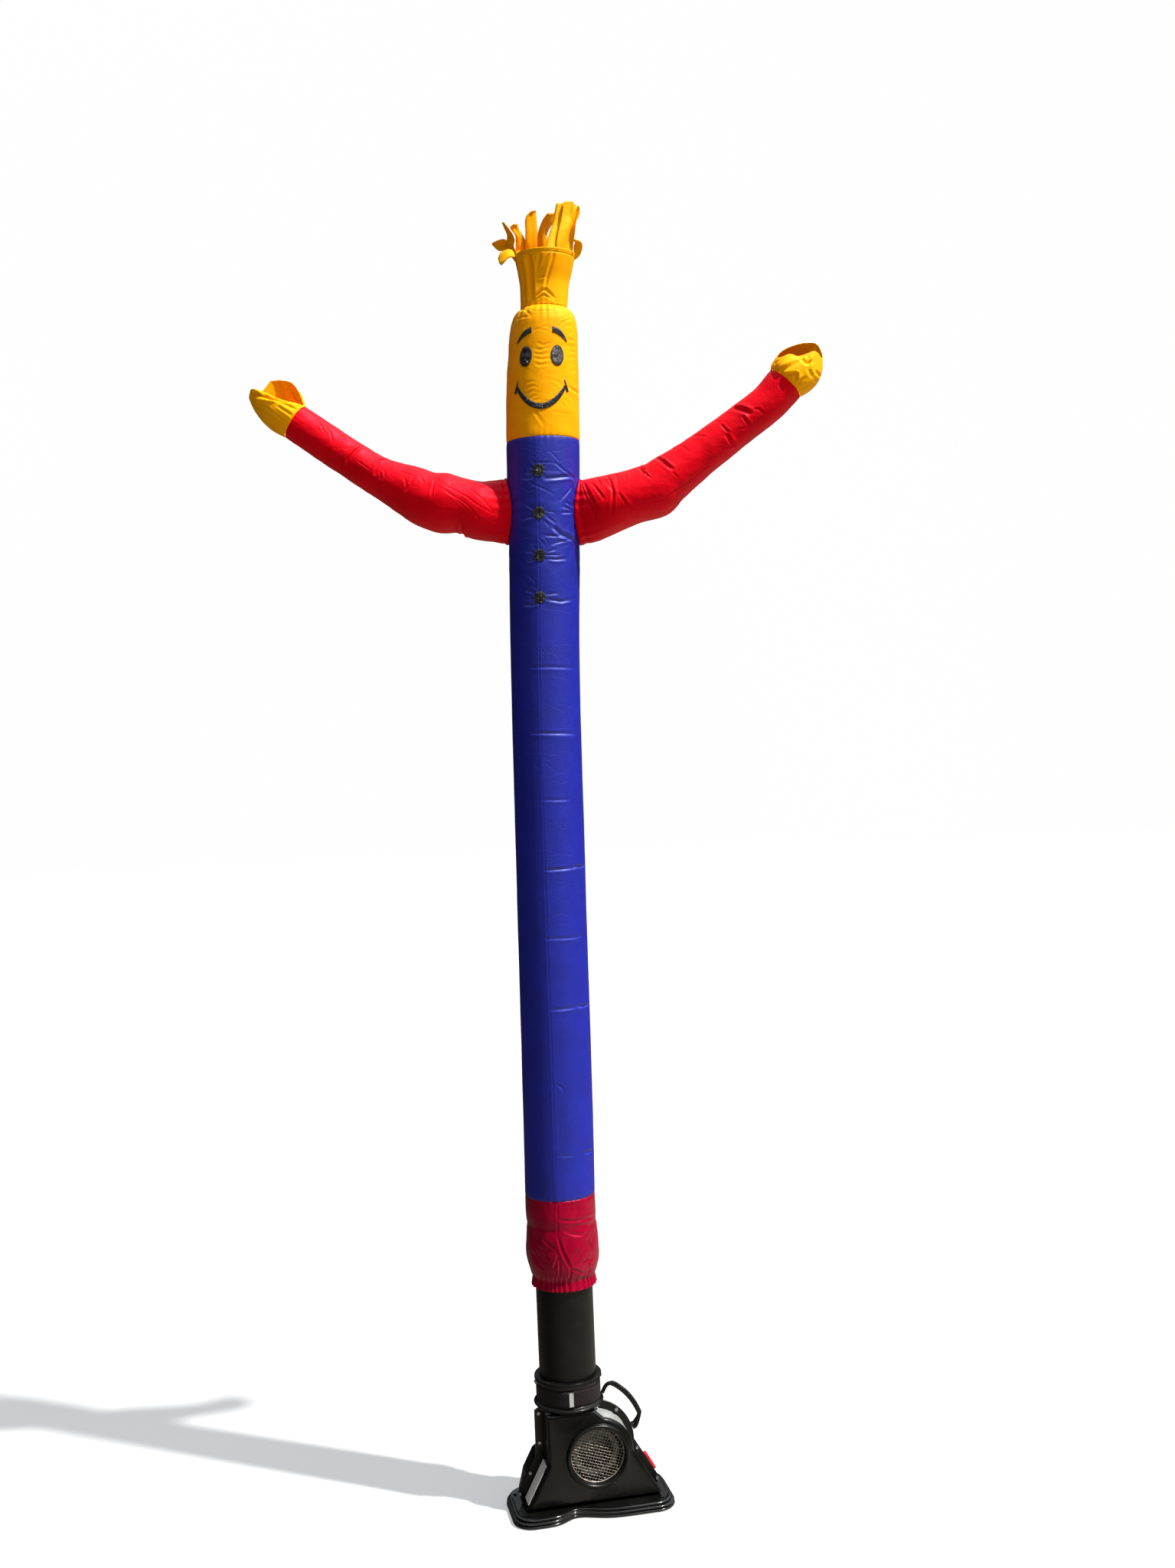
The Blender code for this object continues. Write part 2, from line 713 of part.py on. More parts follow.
def hand_rings(table):
    rings = []
    for part in table:
        direction = radians(part.direction)
        rings.append(section_ring(
            part.x, part.z, direction, part.half_width, part.half_depth, HAND_SIDES,
            part.near_rise, part.far_rise
        ))
    return rings


def keep_turning(rings):
    """Start each ring nearest to the last one's start, so that the skin has no twist."""
    settled = [rings[0]]
    for ring in rings[1:]:
        start = settled[-1][0]
        best = min(range(len(ring)), key=lambda index: (ring[index] - start).length)
        shifted = ring[best:] + ring[:best]
        flipped = [shifted[0]] + list(reversed(shifted[1:]))
        quarter = len(ring) // 4
        target = settled[-1][quarter]
        near = (shifted[quarter] - target).length
        settled.append(shifted if near <= (flipped[quarter] - target).length else flipped)
    return settled


def make_hands():
    left = keep_turning(hand_rings(HAND_LEFT))
    right = keep_turning(hand_rings(HAND_RIGHT))
    add_thickness(lofted("hand_left", left, YELLOW, FIGURE), CLOTH)
    add_thickness(lofted("hand_right", [list(reversed(ring)) for ring in right], YELLOW, FIGURE), CLOTH)


def make_cuff():
    rings = []
    for level, depth in zip(CUFF_RINGS, GATHER_DEPTHS):
        ring = []
        for azimuth in turn_angles(CUFF_SIDES):
            gather = depth * (0.5 + 0.5 * cos(CUFF_GATHERS * azimuth))
            ring.append(around(level.lean, level.radius - gather, azimuth, level.z))
        rings.append(ring)
    rings.reverse()
    add_thickness(lofted("cuff", rings, BURGUNDY, FIGURE), CLOTH)


def on_cloth(rings, azimuth, z):
    """A point just off the cloth of a leaning tube."""
    radius, lean = at_height(rings, z)
    return around(lean, radius + CLOTH_GAP, azimuth, z)


def fill_disc_patch(shape, rings, azimuth, z, half_width, half_height):
    radius, _lean = at_height(rings, z)
    centre = shape.verts.new(on_cloth(rings, azimuth, z))
    loops = []
    for share in (0.5, 1.0):
        loop = []
        for angle in turn_angles(PATCH_SIDES):
            side = azimuth + share * half_width * cos(angle) / radius
            height = z + share * half_height * sin(angle)
            loop.append(shape.verts.new(on_cloth(rings, side, height)))
        loops.append(loop)
    inner, outer = loops
    for index in range(PATCH_SIDES):
        after = (index + 1) % PATCH_SIDES
        shape.faces.new((centre, inner[index], inner[after]))
        shape.faces.new((inner[index], outer[index], outer[after], inner[after]))


def disc_patch(name, rings, azimuth_deg, z, half_width, half_height):
    azimuth = radians(azimuth_deg)
    mesh = mesh_from(name, lambda shape: fill_disc_patch(shape, rings, azimuth, z, half_width, half_height))
    patch = smooth(add_object(name, mesh, CLOTH_BLACK, FIGURE))
    add_thickness(patch, CLOTH, 1.0)


PatchColumn = namedtuple("PatchColumn", "azimuth z up down tilt")


def fill_strip_patch(shape, rings, columns):
    """A narrow patch whose columns stand square to its middle line."""
    radius, _lean = at_height(rings, columns[0].z)
    pairs = []
    for column in columns:
        pair = []
        for reach in (column.up, -column.down):
            side = column.azimuth - reach * sin(column.tilt) / radius
            height = column.z + reach * cos(column.tilt)
            pair.append(shape.verts.new(on_cloth(rings, side, height)))
        pairs.append(pair)
    for left, right in zip(pairs, pairs[1:]):
        shape.faces.new((left[0], left[1], right[1], right[0]))


def strip_patch(name, rings, columns):
    mesh = mesh_from(name, lambda shape: fill_strip_patch(shape, rings, columns))
    patch = smooth(add_object(name, mesh, CLOTH_BLACK, FIGURE))
    add_thickness(patch, CLOTH, 1.0)


def mouth_column(t, up, down):
    """A column of the smile at t from -1 to 1."""
    azimuth = radians(MOUTH_AZIMUTH) * t
    z = MOUTH_LOW_Z + MOUTH_RISE * t * t
    radius, _lean = at_height(HEAD_RINGS, z)
    slope = 2.0 * MOUTH_RISE * t / (radians(MOUTH_AZIMUTH) * radius)
    return PatchColumn(azimuth, z, up, down, atan2(slope, 1.0))


def make_mouth():
    columns = [mouth_column(-1.04, TICK_UP, TICK_DOWN), mouth_column(-1.0, TICK_UP, TICK_DOWN)]
    for step in range(MOUTH_STEPS + 1):
        t = -0.985 + 1.97 * step / MOUTH_STEPS
        half = 0.5 * MOUTH_THICK * (0.28 + 0.72 * (1.0 - t * t) ** 0.6)
        columns.append(mouth_column(t, half, half))
    columns.append(mouth_column(1.0, TICK_UP, TICK_DOWN))
    columns.append(mouth_column(1.04, TICK_UP, TICK_DOWN))
    strip_patch("mouth", HEAD_RINGS, columns)


def make_brow(side):
    """An arch with a blunt inner end and a pointed outer one."""
    columns = []
    for step in range(BROW_STEPS + 1):
        t = step / BROW_STEPS
        azimuth = side * radians(BROW_INNER_AZIMUTH + t * (BROW_OUTER_AZIMUTH - BROW_INNER_AZIMUTH))
        z = BROW_INNER_Z - BROW_DROP * t ** 1.8
        half = 0.5 * BROW_THICK * (1.0 - 0.86 * t ** 1.5)
        columns.append(PatchColumn(azimuth, z, half, half, -side * 0.75 * t))
    if side < 0:
        columns.reverse()
    strip_patch("brow_left" if side < 0 else "brow_right", HEAD_RINGS, columns)


def make_face_and_buttons():
    for number, z in enumerate(BUTTON_HEIGHTS, start=1):
        disc_patch("button_%d" % number, BODY_RINGS, BUTTON_AZIMUTH, z, BUTTON_RADIUS, BUTTON_RADIUS)
    for side, name in ((-1.0, "eye_left"), (1.0, "eye_right")):
        disc_patch(name, HEAD_RINGS, side * EYE_AZIMUTH, EYE_Z, EYE_HALF_WIDTH, EYE_HALF_HEIGHT)
        make_brow(side)
    make_mouth()


def make_duct():
    """The pipe, its collar on the housing, the webbing strap and the strap's tag."""
    inner = PIPE_RADIUS - PIPE_WALL
    pipe = ((PIPE_RADIUS, PIPE_TOP), (PIPE_RADIUS, PIPE_FOOT), (inner, PIPE_FOOT), (inner, PIPE_TOP))
    turned("duct_pipe", pipe, PIPE_SIDES, PIPE_BLACK, (DUCT_X, 0.0, 0.0))
    socket = PIPE_RADIUS + 2.0 * GAP
    collar = (
        (0.0721, COLLAR_TOP),
        (0.0750, 0.2955),
        (0.0738, 0.2930),
        (0.0750, 0.2905),
        (COLLAR_RADIUS, 0.2880),
        (COLLAR_RADIUS, 0.2435),
        (COLLAR_RIM, 0.2405),
        (COLLAR_RIM, 0.2360),
        (0.0730, COLLAR_FOOT),
        (COLLAR_BORE, COLLAR_FOOT),
        (COLLAR_BORE, PIPE_FOOT - GAP),
        (socket, PIPE_FOOT - GAP),
        (socket, COLLAR_TOP),
    )
    turned("outlet_collar", collar, PIPE_SIDES, GLOSS_BLACK, (DUCT_X, 0.0, 0.0))
    make_strap()


def make_strap():
    """Webbing wound once round the collar, its end lapped over its start."""
    def build(shape):
        previous = None
        span = 2.0 * pi + STRAP_OVERLAP
        for step in range(STRAP_STEPS + 1):
            turn = span * step / STRAP_STEPS
            lap = min(1.0, max(0.0, (turn - 2.0 * pi + STRAP_OVERLAP) / STRAP_OVERLAP))
            radius = STRAP_INNER + lap * (STRAP_WEB + GAP)
            azimuth = STRAP_START + turn
            pair = [shape.verts.new(around(0.0, radius, azimuth, z)) for z in (STRAP_LOW, STRAP_HIGH)]
            if previous:
                shape.faces.new((previous[0], pair[0], pair[1], previous[1]))
            previous = pair
    strap = add_object("collar_strap", mesh_from("collar_strap", build), WEBBING)
    strap.location = (DUCT_X, 0.0, 0.0)
    smooth(strap)
    add_thickness(strap, STRAP_WEB, 1.0)
    reach = STRAP_INNER + 2.0 * STRAP_WEB + 2.0 * GAP + TAG_STAND_OFF
    centre = around(DUCT_X, reach, TAG_AZIMUTH, 0.5 * (STRAP_LOW + STRAP_HIGH) + 0.001)
    place = Matrix.Translation(centre) @ Matrix.Rotation(TAG_AZIMUTH, 4, "Z")
    box("strap_tag", TAG_SIZE, TAG_GREY, place)


def walk(start, end):
    """Points from start up to, not including, end, at even turns round the inlet."""
    first = atan2(start[1] - INLET.z, start[0] - INLET.x)
    last = atan2(end[1] - INLET.z, end[0] - INLET.x)
    sweep = abs((last - first + pi) % (2.0 * pi) - pi)
    count = max(1, round(sweep / POLAR_STEP))
    points = []
    for index in range(count):
        share = index / count
        points.append((start[0] + share * (end[0] - start[0]), start[1] + share * (end[1] - start[1])))
    return points


def scroll_point(angle):
    return (INLET.x + SCROLL_RADIUS * cos(angle), INLET.z + SCROLL_RADIUS * sin(angle))


OutlinePoint = namedtuple("OutlinePoint", "x z flange bulge")


def outline():
    """The housing's outline, clockwise from the right foot, seen from the front."""
    points = []
    for x, z in walk(SLOPE_FOOT_RIGHT, SLOPE_FOOT_LEFT):
        points.append(OutlinePoint(x, z, FLANGE_FOOT, 0.0))
    left_slope = walk(SLOPE_FOOT_LEFT, KNEE_LEFT)
    foot = left_slope[0]
    points.append(OutlinePoint(foot[0], foot[1], FLANGE_FOOT, 0.0))
    rise = (KNEE_LEFT[0] - foot[0], KNEE_LEFT[1] - foot[1])
    start = (foot[0] + FLANGE_START * rise[0], foot[1] + FLANGE_START * rise[1])
    for x, z in [start] + left_slope[1:]:
        points.append(OutlinePoint(x, z, FLANGE_LEFT, REAR_BULGE if x > start[0] else 0.0))
    for index, (x, z) in enumerate(walk(KNEE_LEFT, NECK_LEFT)):
        points.append(OutlinePoint(x, z, FLANGE_LEFT, 0.0 if index else 0.5 * REAR_BULGE))
    top = scroll_point(SCROLL_TOP_ANGLE)
    shoulder = (top[0] - 0.022, SHELL_TOP)
    for x, z in walk(NECK_LEFT, shoulder):
        points.append(OutlinePoint(x, z, FLANGE_NECK, 0.0))
    points.append(OutlinePoint(shoulder[0], shoulder[1], FLANGE_NECK, 0.0))
    steps = round((SCROLL_TOP_ANGLE - SCROLL_END_ANGLE) / POLAR_STEP)
    for step in range(steps + 1):
        share = step / steps
        x, z = scroll_point(SCROLL_TOP_ANGLE + share * (SCROLL_END_ANGLE - SCROLL_TOP_ANGLE))
        points.append(OutlinePoint(x, z, FLANGE_SCROLL_TOP + share * (FLANGE_RIGHT - FLANGE_SCROLL_TOP), 0.0))
    knee = scroll_point(SCROLL_END_ANGLE)
    for x, z in walk(knee, SLOPE_FOOT_RIGHT)[1:]:
        points.append(OutlinePoint(x, z, FLANGE_RIGHT, 0.0))
    return points


def outward(points, index):
    """The unit direction out of the outline at one point, and its mitre."""
    before = points[index - 1]
    here = points[index]
    after = points[(index + 1) % len(points)]
    first = Vector((here.x - before.x, here.z - before.z)).normalized()
    second = Vector((after.x - here.x, after.z - here.z)).normalized()
    normal = Vector((-(first.y + second.y), first.x + second.x)).normalized()
    mitre = 1.0 / max(0.6, normal.dot(Vector((-first.y, first.x))))
    return normal, mitre


def shell_ring(points, y, offset):
    """The outline at one depth, moved out by an amount worked out for each point."""
    ring = []
    for index, point in enumerate(points):
        normal, mitre = outward(points, index)
        shift = offset(point) * mitre
        ring.append(Vector((point.x + shift * normal.x, y, point.z + shift * normal.y)))
    return ring


def round_ring(points, radius, y):
    """A circle about the inlet whose points face those of the outline."""
    ring = []
    for point in points:
        angle = atan2(point.z - INLET.z, point.x - INLET.x)
        ring.append(Vector((INLET.x + radius * cos(angle), y, INLET.z + radius * sin(angle))))
    return ring


def neck_cutter():
    """The round way from the housing up into the collar."""
    place = Matrix.Translation((DUCT_X, 0.0, SHELL_TOP))
    return as_cutter(cylinder("neck_cut", NECK_RADIUS, 0.02, ROUND_SIDES, GLOSS_BLACK, place))


def make_shells():
    points = outline()
    front = [
        round_ring(points, INLET_RADIUS, -0.045),
        round_ring(points, INLET_RADIUS, -0.063),
        round_ring(points, INLET_RADIUS + 0.0030, LIP_FRONT),
        round_ring(points, INLET_RADIUS + 0.0070, -0.0655),
        round_ring(points, INLET_RADIUS + 0.0100, -FRONT_DEPTH),
        shell_ring(points, -FRONT_DEPTH, lambda point: -EDGE_ROUND),
        shell_ring(points, -FRONT_DEPTH + 0.0027, lambda point: -0.3 * EDGE_ROUND),
        shell_ring(points, -FRONT_DEPTH + EDGE_ROUND, lambda point: 0.0),
        shell_ring(points, -SEAM_Y, lambda point: 0.0),
        shell_ring(points, -SEAM_Y, lambda point: point.flange),
    ]
    rear = [
        round_ring(points, 0.034, REAR_DEPTH + MOTOR_HUMP),
        round_ring(points, 0.042, REAR_DEPTH + 0.010),
        round_ring(points, 0.046, REAR_DEPTH),
        shell_ring(points, REAR_DEPTH, lambda point: point.bulge - EDGE_ROUND),
        shell_ring(points, REAR_DEPTH - EDGE_ROUND, lambda point: point.bulge),
        shell_ring(points, 0.020, lambda point: point.bulge),
        shell_ring(points, SEAM_Y, lambda point: 0.0),
        shell_ring(points, SEAM_Y, lambda point: point.flange),
    ]
    neck = neck_cutter()
    front_shell = lofted("shell_front", front, GLOSS_BLACK)
    add_thickness(front_shell, SHELL_WALL)
    add_cut(front_shell, neck, "neck")
    rear_shell = lofted("shell_rear", [list(reversed(ring)) for ring in rear], GLOSS_BLACK, cap_first=True)
    add_thickness(rear_shell, SHELL_WALL)
    add_cut(rear_shell, neck, "neck")


def base_edge_point(angle):
    """A rounded rectangle's edge at one direction, with a shallower and rounder rear."""
    depth = REAR_HALF_DEPTH if sin(angle) > 0.0 else FRONT_HALF_DEPTH
    corner = REAR_CORNER if sin(angle) > 0.0 else FRONT_CORNER
    far = Vector((BASE_HALF_WIDTH * EDGE_REACH * cos(angle), depth * EDGE_REACH * sin(angle)))
    reach_x = BASE_HALF_WIDTH - corner
    reach_y = depth - corner
    inner = Vector((max(-reach_x, min(reach_x, far.x)), max(-reach_y, min(reach_y, far.y))))
    return inner + corner * (far - inner).normalized()


def front_wave(x):
    reach = WAVE_REACH_LEFT if x < WAVE_X else WAVE_REACH_RIGHT
    side = (x - WAVE_X) / reach
    return WAVE_DEPTH * exp(-side * side)


def make_base_pan():
    rings = []
    for ridge in BASE_RIDGES:
        ring = []
        for angle in turn_angles(BASE_SIDES):
            edge = base_edge_point(angle)
            scale_x = 1.0 - ridge.inset / BASE_HALF_WIDTH
            scale_y = 1.0 - ridge.inset / FRONT_HALF_DEPTH
            y = edge.y * scale_y
            if y < 0.0:
                y += front_wave(edge.x) * (y / FRONT_HALF_DEPTH) ** 2
            ring.append(Vector((edge.x * scale_x, y, ridge.z)))
        rings.append(ring)
    pan = lofted("base_pan", rings, GLOSS_BLACK, cap_first=True, cap_last=True)
    for number, (x, y, turn) in enumerate(TIE_DOWN_PLACES, start=1):
        place = Matrix.Translation((x, y, 0.5 * BASE_TOP)) @ Matrix.Rotation(radians(turn), 4, "Z")
        slot = box("tie_down_%d" % number, TIE_DOWN_SLOT, GLOSS_BLACK, place)
        add_cut(pan, as_cutter(slot), "slot_%d" % number)


def make_inlet_mesh():
    """A welded wire grid, at twice the real pitch, in a plain rim."""
    facing = Matrix.Rotation(0.5 * pi, 4, "X")
    place = Matrix.Translation((INLET.x, MESH_Y, INLET.z)) @ facing
    guard = cylinder("inlet_mesh", INLET_RADIUS - 3.0 * GAP, MESH_WIRE, MESH_SIDES, WIRE, place)
    def build(shape):
        hole = MESH_PITCH - MESH_WIRE
        reach = int(INLET_RADIUS / MESH_PITCH) + 1
        for column in range(-reach, reach + 1):
            for row in range(-reach, reach + 1):
                x = column * MESH_PITCH
                y = row * MESH_PITCH
                if hypot(abs(x) + 0.5 * hole, abs(y) + 0.5 * hole) > INLET_RADIUS - MESH_RIM:
                    continue
                bmesh.ops.create_cube(
                    shape, size=1.0,
                    matrix=Matrix.Translation((x, y, 0.0)) @ Matrix.Diagonal((hole, hole, 0.01, 1.0))
                )
    holes = add_object("mesh_holes", mesh_from("mesh_holes", build), WIRE)
    holes.matrix_local = place @ Matrix.Rotation(MESH_TURN, 4, "Z")
    add_cut(guard, as_cutter(holes), "grid")


def make_fan():
    """A caged blower wheel on its motor, seen only through the inlet."""
    facing = Matrix.Rotation(0.5 * pi, 4, "X")
    disc = cylinder(
        "fan_wheel", FAN_RADIUS, FAN_DISC, ROUND_SIDES, STEEL,
        Matrix.Translation((INLET.x, FAN_BACK, INLET.z)) @ facing
    )
    def build(shape):
        for angle in turn_angles(FAN_BLADES):
            place = (
                Matrix.Translation((INLET.x, 0.5 * (FAN_FRONT + FAN_BACK), INLET.z))
                @ Matrix.Rotation(angle, 4, "Y")
                @ Matrix.Translation((FAN_RADIUS - BLADE_INSET, 0.0, 0.0))
                @ Matrix.Rotation(BLADE_PITCH, 4, "Y")
                @ Matrix.Diagonal((*BLADE_SIZE, 1.0))
            )
            bmesh.ops.create_cube(shape, size=1.0, matrix=place)
    blades = as_cutter(add_object("fan_blades", mesh_from("fan_blades", build), STEEL))
    ring_inner = FAN_RADIUS - FAN_RING_WIDTH
    ring_profile = ((FAN_RADIUS, FAN_DISC), (FAN_RADIUS, 0.0), (ring_inner, 0.0), (ring_inner, FAN_DISC))
    ring = turned("fan_ring", ring_profile, ROUND_SIDES, STEEL)
    ring.matrix_local = Matrix.Translation((INLET.x, FAN_FRONT + 0.002, INLET.z)) @ facing
    as_cutter(ring)
    add_join(disc, blades, "blades")
    add_join(disc, ring, "ring")
    motor_front = FAN_BACK + 0.5 * FAN_DISC + GAP
    motor_back = REAR_DEPTH + MOTOR_HUMP - SHELL_WALL - GAP
    cylinder(
        "fan_motor", MOTOR_RADIUS, motor_back - motor_front, ROUND_SIDES, STEEL,
        Matrix.Translation((INLET.x, 0.5 * (motor_front + motor_back), INLET.z)) @ facing
    )


def make_label_plate():
    """The blank plate on the left slope, from the seam forwards."""
    foot = Vector((SLOPE_FOOT_LEFT[0], 0.0, SLOPE_FOOT_LEFT[1]))
    knee = Vector((KNEE_LEFT[0], 0.0, KNEE_LEFT[1]))
    along = (knee - foot).normalized()
    out = Vector((-along.z, 0.0, along.x))
    centre = 0.5 * (foot + knee) + LABEL_RISE * along + (0.5 * LABEL_SIZE[2] + GAP) * out
    centre.y = LABEL_Y
    frame = Matrix((along, Vector((0.0, 1.0, 0.0)), out)).transposed().to_4x4()
    place = Matrix.Translation(centre) @ frame
    box("label_plate", LABEL_SIZE, TAG_GREY, place)


def make_bolts():
    facing = Matrix.Rotation(0.5 * pi, 4, "X")
    for bolt in SEAM_BOLTS:
        y = -(SEAM_Y + GAP + 0.5 * BOLT_HEAD)
        place = Matrix.Translation((bolt.x, y, bolt.z)) @ facing
        cylinder(bolt.name, bolt.radius, BOLT_HEAD, BOLT_SIDES, STEEL, place)
    for side, name in ((-1.0, "bolt_collar_left"), (1.0, "bolt_collar_right")):
        place = Matrix.Translation((DUCT_X + side * COLLAR_BOLT_REACH, 0.0, COLLAR_BOLT_Z)) @ facing
        cylinder(name, COLLAR_BOLT_RADIUS, COLLAR_BOLT_LENGTH, BOLT_SIDES, STEEL, place)


def make_handle():
    """The carry handle's grip and its two legs, which stand on the seam flange."""
    curve = bpy.data.curves.new("handle_path", "CURVE")
    curve.dimensions = "3D"
    curve.bevel_depth = 1.0
    curve.bevel_resolution = 2
    curve.use_fill_caps = True
    line = curve.splines.new("POLY")
    line.points.add(len(HANDLE_POINTS) - 1)
    for point, place in zip(line.points, HANDLE_POINTS):
        point.co = (place.x, 0.0, place.z, 1.0)
        point.radius = place.radius
    add_object("carry_handle", curve, GLOSS_BLACK)


SLOPE_START = Vector(scroll_point(SCROLL_END_ANGLE))
SLOPE_END = Vector(SLOPE_FOOT_RIGHT)


def right_slope_frame():
    """Axes on the right slope: X down it, Y to the rear and Z out of it."""
    along = Vector((SLOPE_END.x - SLOPE_START.x, 0.0, SLOPE_END.y - SLOPE_START.y)).normalized()
    rear = Vector((0.0, 1.0, 0.0))
    out = along.cross(rear)
    frame = Matrix((along, rear, out)).transposed().to_4x4()
    return Matrix.Translation((SLOPE_START.x, 0.0, SLOPE_START.y)) @ frame


def outline_block(name, outline_points, low, high, look, place, edge):
    """A flat outline made into a block between two heights."""
    def build(shape):
        lower = [shape.verts.new((x, y, low)) for x, y in outline_points]
        face = shape.faces.new(lower)
        raised = bmesh.ops.extrude_face_region(shape, geom=[face])
        tops = [part for part in raised["geom"] if isinstance(part, bmesh.types.BMVert)]
        bmesh.ops.translate(shape, verts=tops, vec=(0.0, 0.0, high - low))
        bmesh.ops.recalc_face_normals(shape, faces=shape.faces)
    item = add_object(name, mesh_from(name, build), look)
    item.matrix_local = place
    rounding = item.modifiers.new("edge", "BEVEL")
    rounding.width = edge
    rounding.segments = 1
    return item


def make_switch_group():
    """A plate on the right slope, behind the seam, with its bar and red hood."""
    place = right_slope_frame()
    plate_top = GAP + 0.0030
    box(
        "switch_plate", (0.066, 0.026, 0.0030), GLOSS_BLACK,
        place @ Matrix.Translation((0.086, 0.0215, GAP + 0.0015))
    )
    box(
        "pill_bar", (0.044, 0.0085, 0.0090), GLOSS_BLACK,
        place @ Matrix.Translation((0.0935, 0.0145, plate_top + GAP + 0.0045)), bevel=0.0030
    )
    hood = (
        (0.0550, 0.0100),
        (0.0705, 0.0100),
        (0.0705, 0.0200),
        (0.1050, 0.0200),
        (0.1050, 0.0320),
        (0.0550, 0.0320),
    )
    outline_block("red_guard", hood, plate_top + GAP, plate_top + 0.0150, SWITCH_RED, place, 0.0025)


clear_scene()
PARTS = new_collection("Inflatable scarecrow")
CUTTERS = new_collection("Cutters")
FIGURE = bpy.data.objects.new("figure_turn", None)
FIGURE.location = (DUCT_X, 0.0, 0.0)
FIGURE.rotation_euler = (0.0, 0.0, FIGURE_TURN)
PARTS.objects.link(FIGURE)
make_body_tube()
make_head()
make_hair_tube()
make_hair_fringe()
make_arms()
make_hands()
make_cuff()
make_face_and_buttons()
make_duct()
make_shells()
make_base_pan()
make_inlet_mesh()
make_fan()
make_label_plate()
make_bolts()
make_handle()
make_switch_group()
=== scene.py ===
"""Looks of the inflatable scarecrow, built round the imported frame.

Metres, +Z up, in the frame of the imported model; tables are in millimetres and degrees. The
figure's cloths are grids of points about its own upright axis. A fold is a trough: its
width, its depth, then the degrees round and the place along of each point that it passes.
"""
from collections import namedtuple
from contextlib import contextmanager
from math import atan2, cos, pi, radians, sin, sqrt, tau

import bmesh
import bpy
import numpy as np
from mathutils import Matrix, Vector


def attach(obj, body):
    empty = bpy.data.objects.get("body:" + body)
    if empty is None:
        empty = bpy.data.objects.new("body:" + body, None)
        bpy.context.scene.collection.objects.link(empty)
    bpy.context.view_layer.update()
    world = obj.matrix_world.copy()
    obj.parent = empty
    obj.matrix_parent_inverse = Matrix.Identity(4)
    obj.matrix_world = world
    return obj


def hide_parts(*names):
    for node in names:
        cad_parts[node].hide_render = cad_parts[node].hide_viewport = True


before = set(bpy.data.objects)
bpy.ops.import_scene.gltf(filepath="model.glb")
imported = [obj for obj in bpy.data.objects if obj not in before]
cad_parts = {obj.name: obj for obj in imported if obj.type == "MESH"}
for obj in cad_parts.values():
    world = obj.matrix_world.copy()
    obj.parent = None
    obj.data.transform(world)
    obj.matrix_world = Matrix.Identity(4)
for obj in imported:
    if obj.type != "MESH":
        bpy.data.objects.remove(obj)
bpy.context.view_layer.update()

DUCT_X = -0.038
TURN = np.array(Matrix.Rotation(radians(-13.5), 3, "Z"))
THICK = 0.0009
BODY_MIDDLE_X = DUCT_X + 0.02
PIPE_CLEAR = 0.0638

# Metres of cloth to a degree round the body and head, the hair tube, an arm and a hand
PER_DEGREE, HAIR_PER_DEGREE, ARM_PER_DEGREE, HAND_PER_DEGREE = 0.00137, 0.00098, 0.00088, 0.00080


def in_metres(table):
    return 0.001 * np.array(table)


# Tubes: height, radius, sideways lean
BODY = in_metres((
    (703.5, 78, -1.5), (804, 78, 0), (1431, 77, 6), (1980, 77, 14), (2120, 78.5, 19), (2210, 78.5, 21),
    (2300, 80.5, 23.5), (2369.5, 81, 25.5),
))

HEAD = in_metres((
    (2369.9, 81, 25.5), (2410, 81, 26.8), (2450, 81, 28), (2490, 80, 29.6), (2530, 78.7, 31.4),
    (2555, 77, 33), (2585, 76.3, 34.5), (2609, 74.6, 36.3), (2633, 70.5, 37.9), (2650, 62.6, 38.4),
    (2659, 52.5, 39),
))

HAIR = in_metres((
    (2659.7, 51.3, 39), (2685, 52, 40.5), (2715, 53.5, 42), (2744, 60, 44), (2768, 65, 45),
))

CUFF = in_metres((
    (502, 73.5, 0), (513, 71.5, 0), (524, 70.5, 0), (531, 73.5, 0), (545, 77, -0.2), (628, 77.5, -1),
    (640, 76.2, -1.2), (652, 77.7, -1.5), (703.1, 78, -1.5),
))

# Arms from shoulder to wrist: x, height, half height, half depth
ARM_LEFT = in_metres((
    (-85, 2223, 68, 50), (-120, 2226, 64.5, 60), (-160, 2238, 60.5, 61), (-199, 2245, 66.5, 65),
    (-235, 2255, 62, 62), (-270, 2274, 57, 57), (-310, 2294, 48.5, 50), (-345, 2313, 43, 44),
    (-397, 2348, 41.5, 41.5), (-460, 2393, 41, 41), (-519.7, 2437.1, 40.6, 40.6),
))

ARM_RIGHT = in_metres((
    (126, 2216.5, 69.5, 52), (150, 2223, 66.5, 61), (210, 2240, 60, 61), (250, 2250, 60, 60),
    (271, 2257, 60.5, 59), (296, 2276, 55, 56), (340, 2306, 49, 49), (388, 2339, 45, 45),
    (465, 2393, 42.6, 42.6), (523.5, 2435, 42.5, 42.5), (563.7, 2476.6, 43.7, 43.7),
))

# Hands' rims, every 30 degrees from the back: x, y, z, bulge
RIM_LEFT = in_metres((
    (-578, 28, 2537.5, 12), (-595.6, 22, 2515.4, 11), (-615.4, 16, 2499.4, 11), (-622.3, 4, 2492.3, 13),
    (-617.8, -12, 2502.8, 12), (-607.8, -26, 2508.7, 10), (-585.8, -30, 2502.2, 10),
    (-553.2, -25, 2486, 7), (-526.5, -14, 2478.9, 3), (-501.9, 0, 2474.5, 0), (-524.3, 22, 2525.5, 5),
    (-553.1, 30, 2538.1, 10),
))

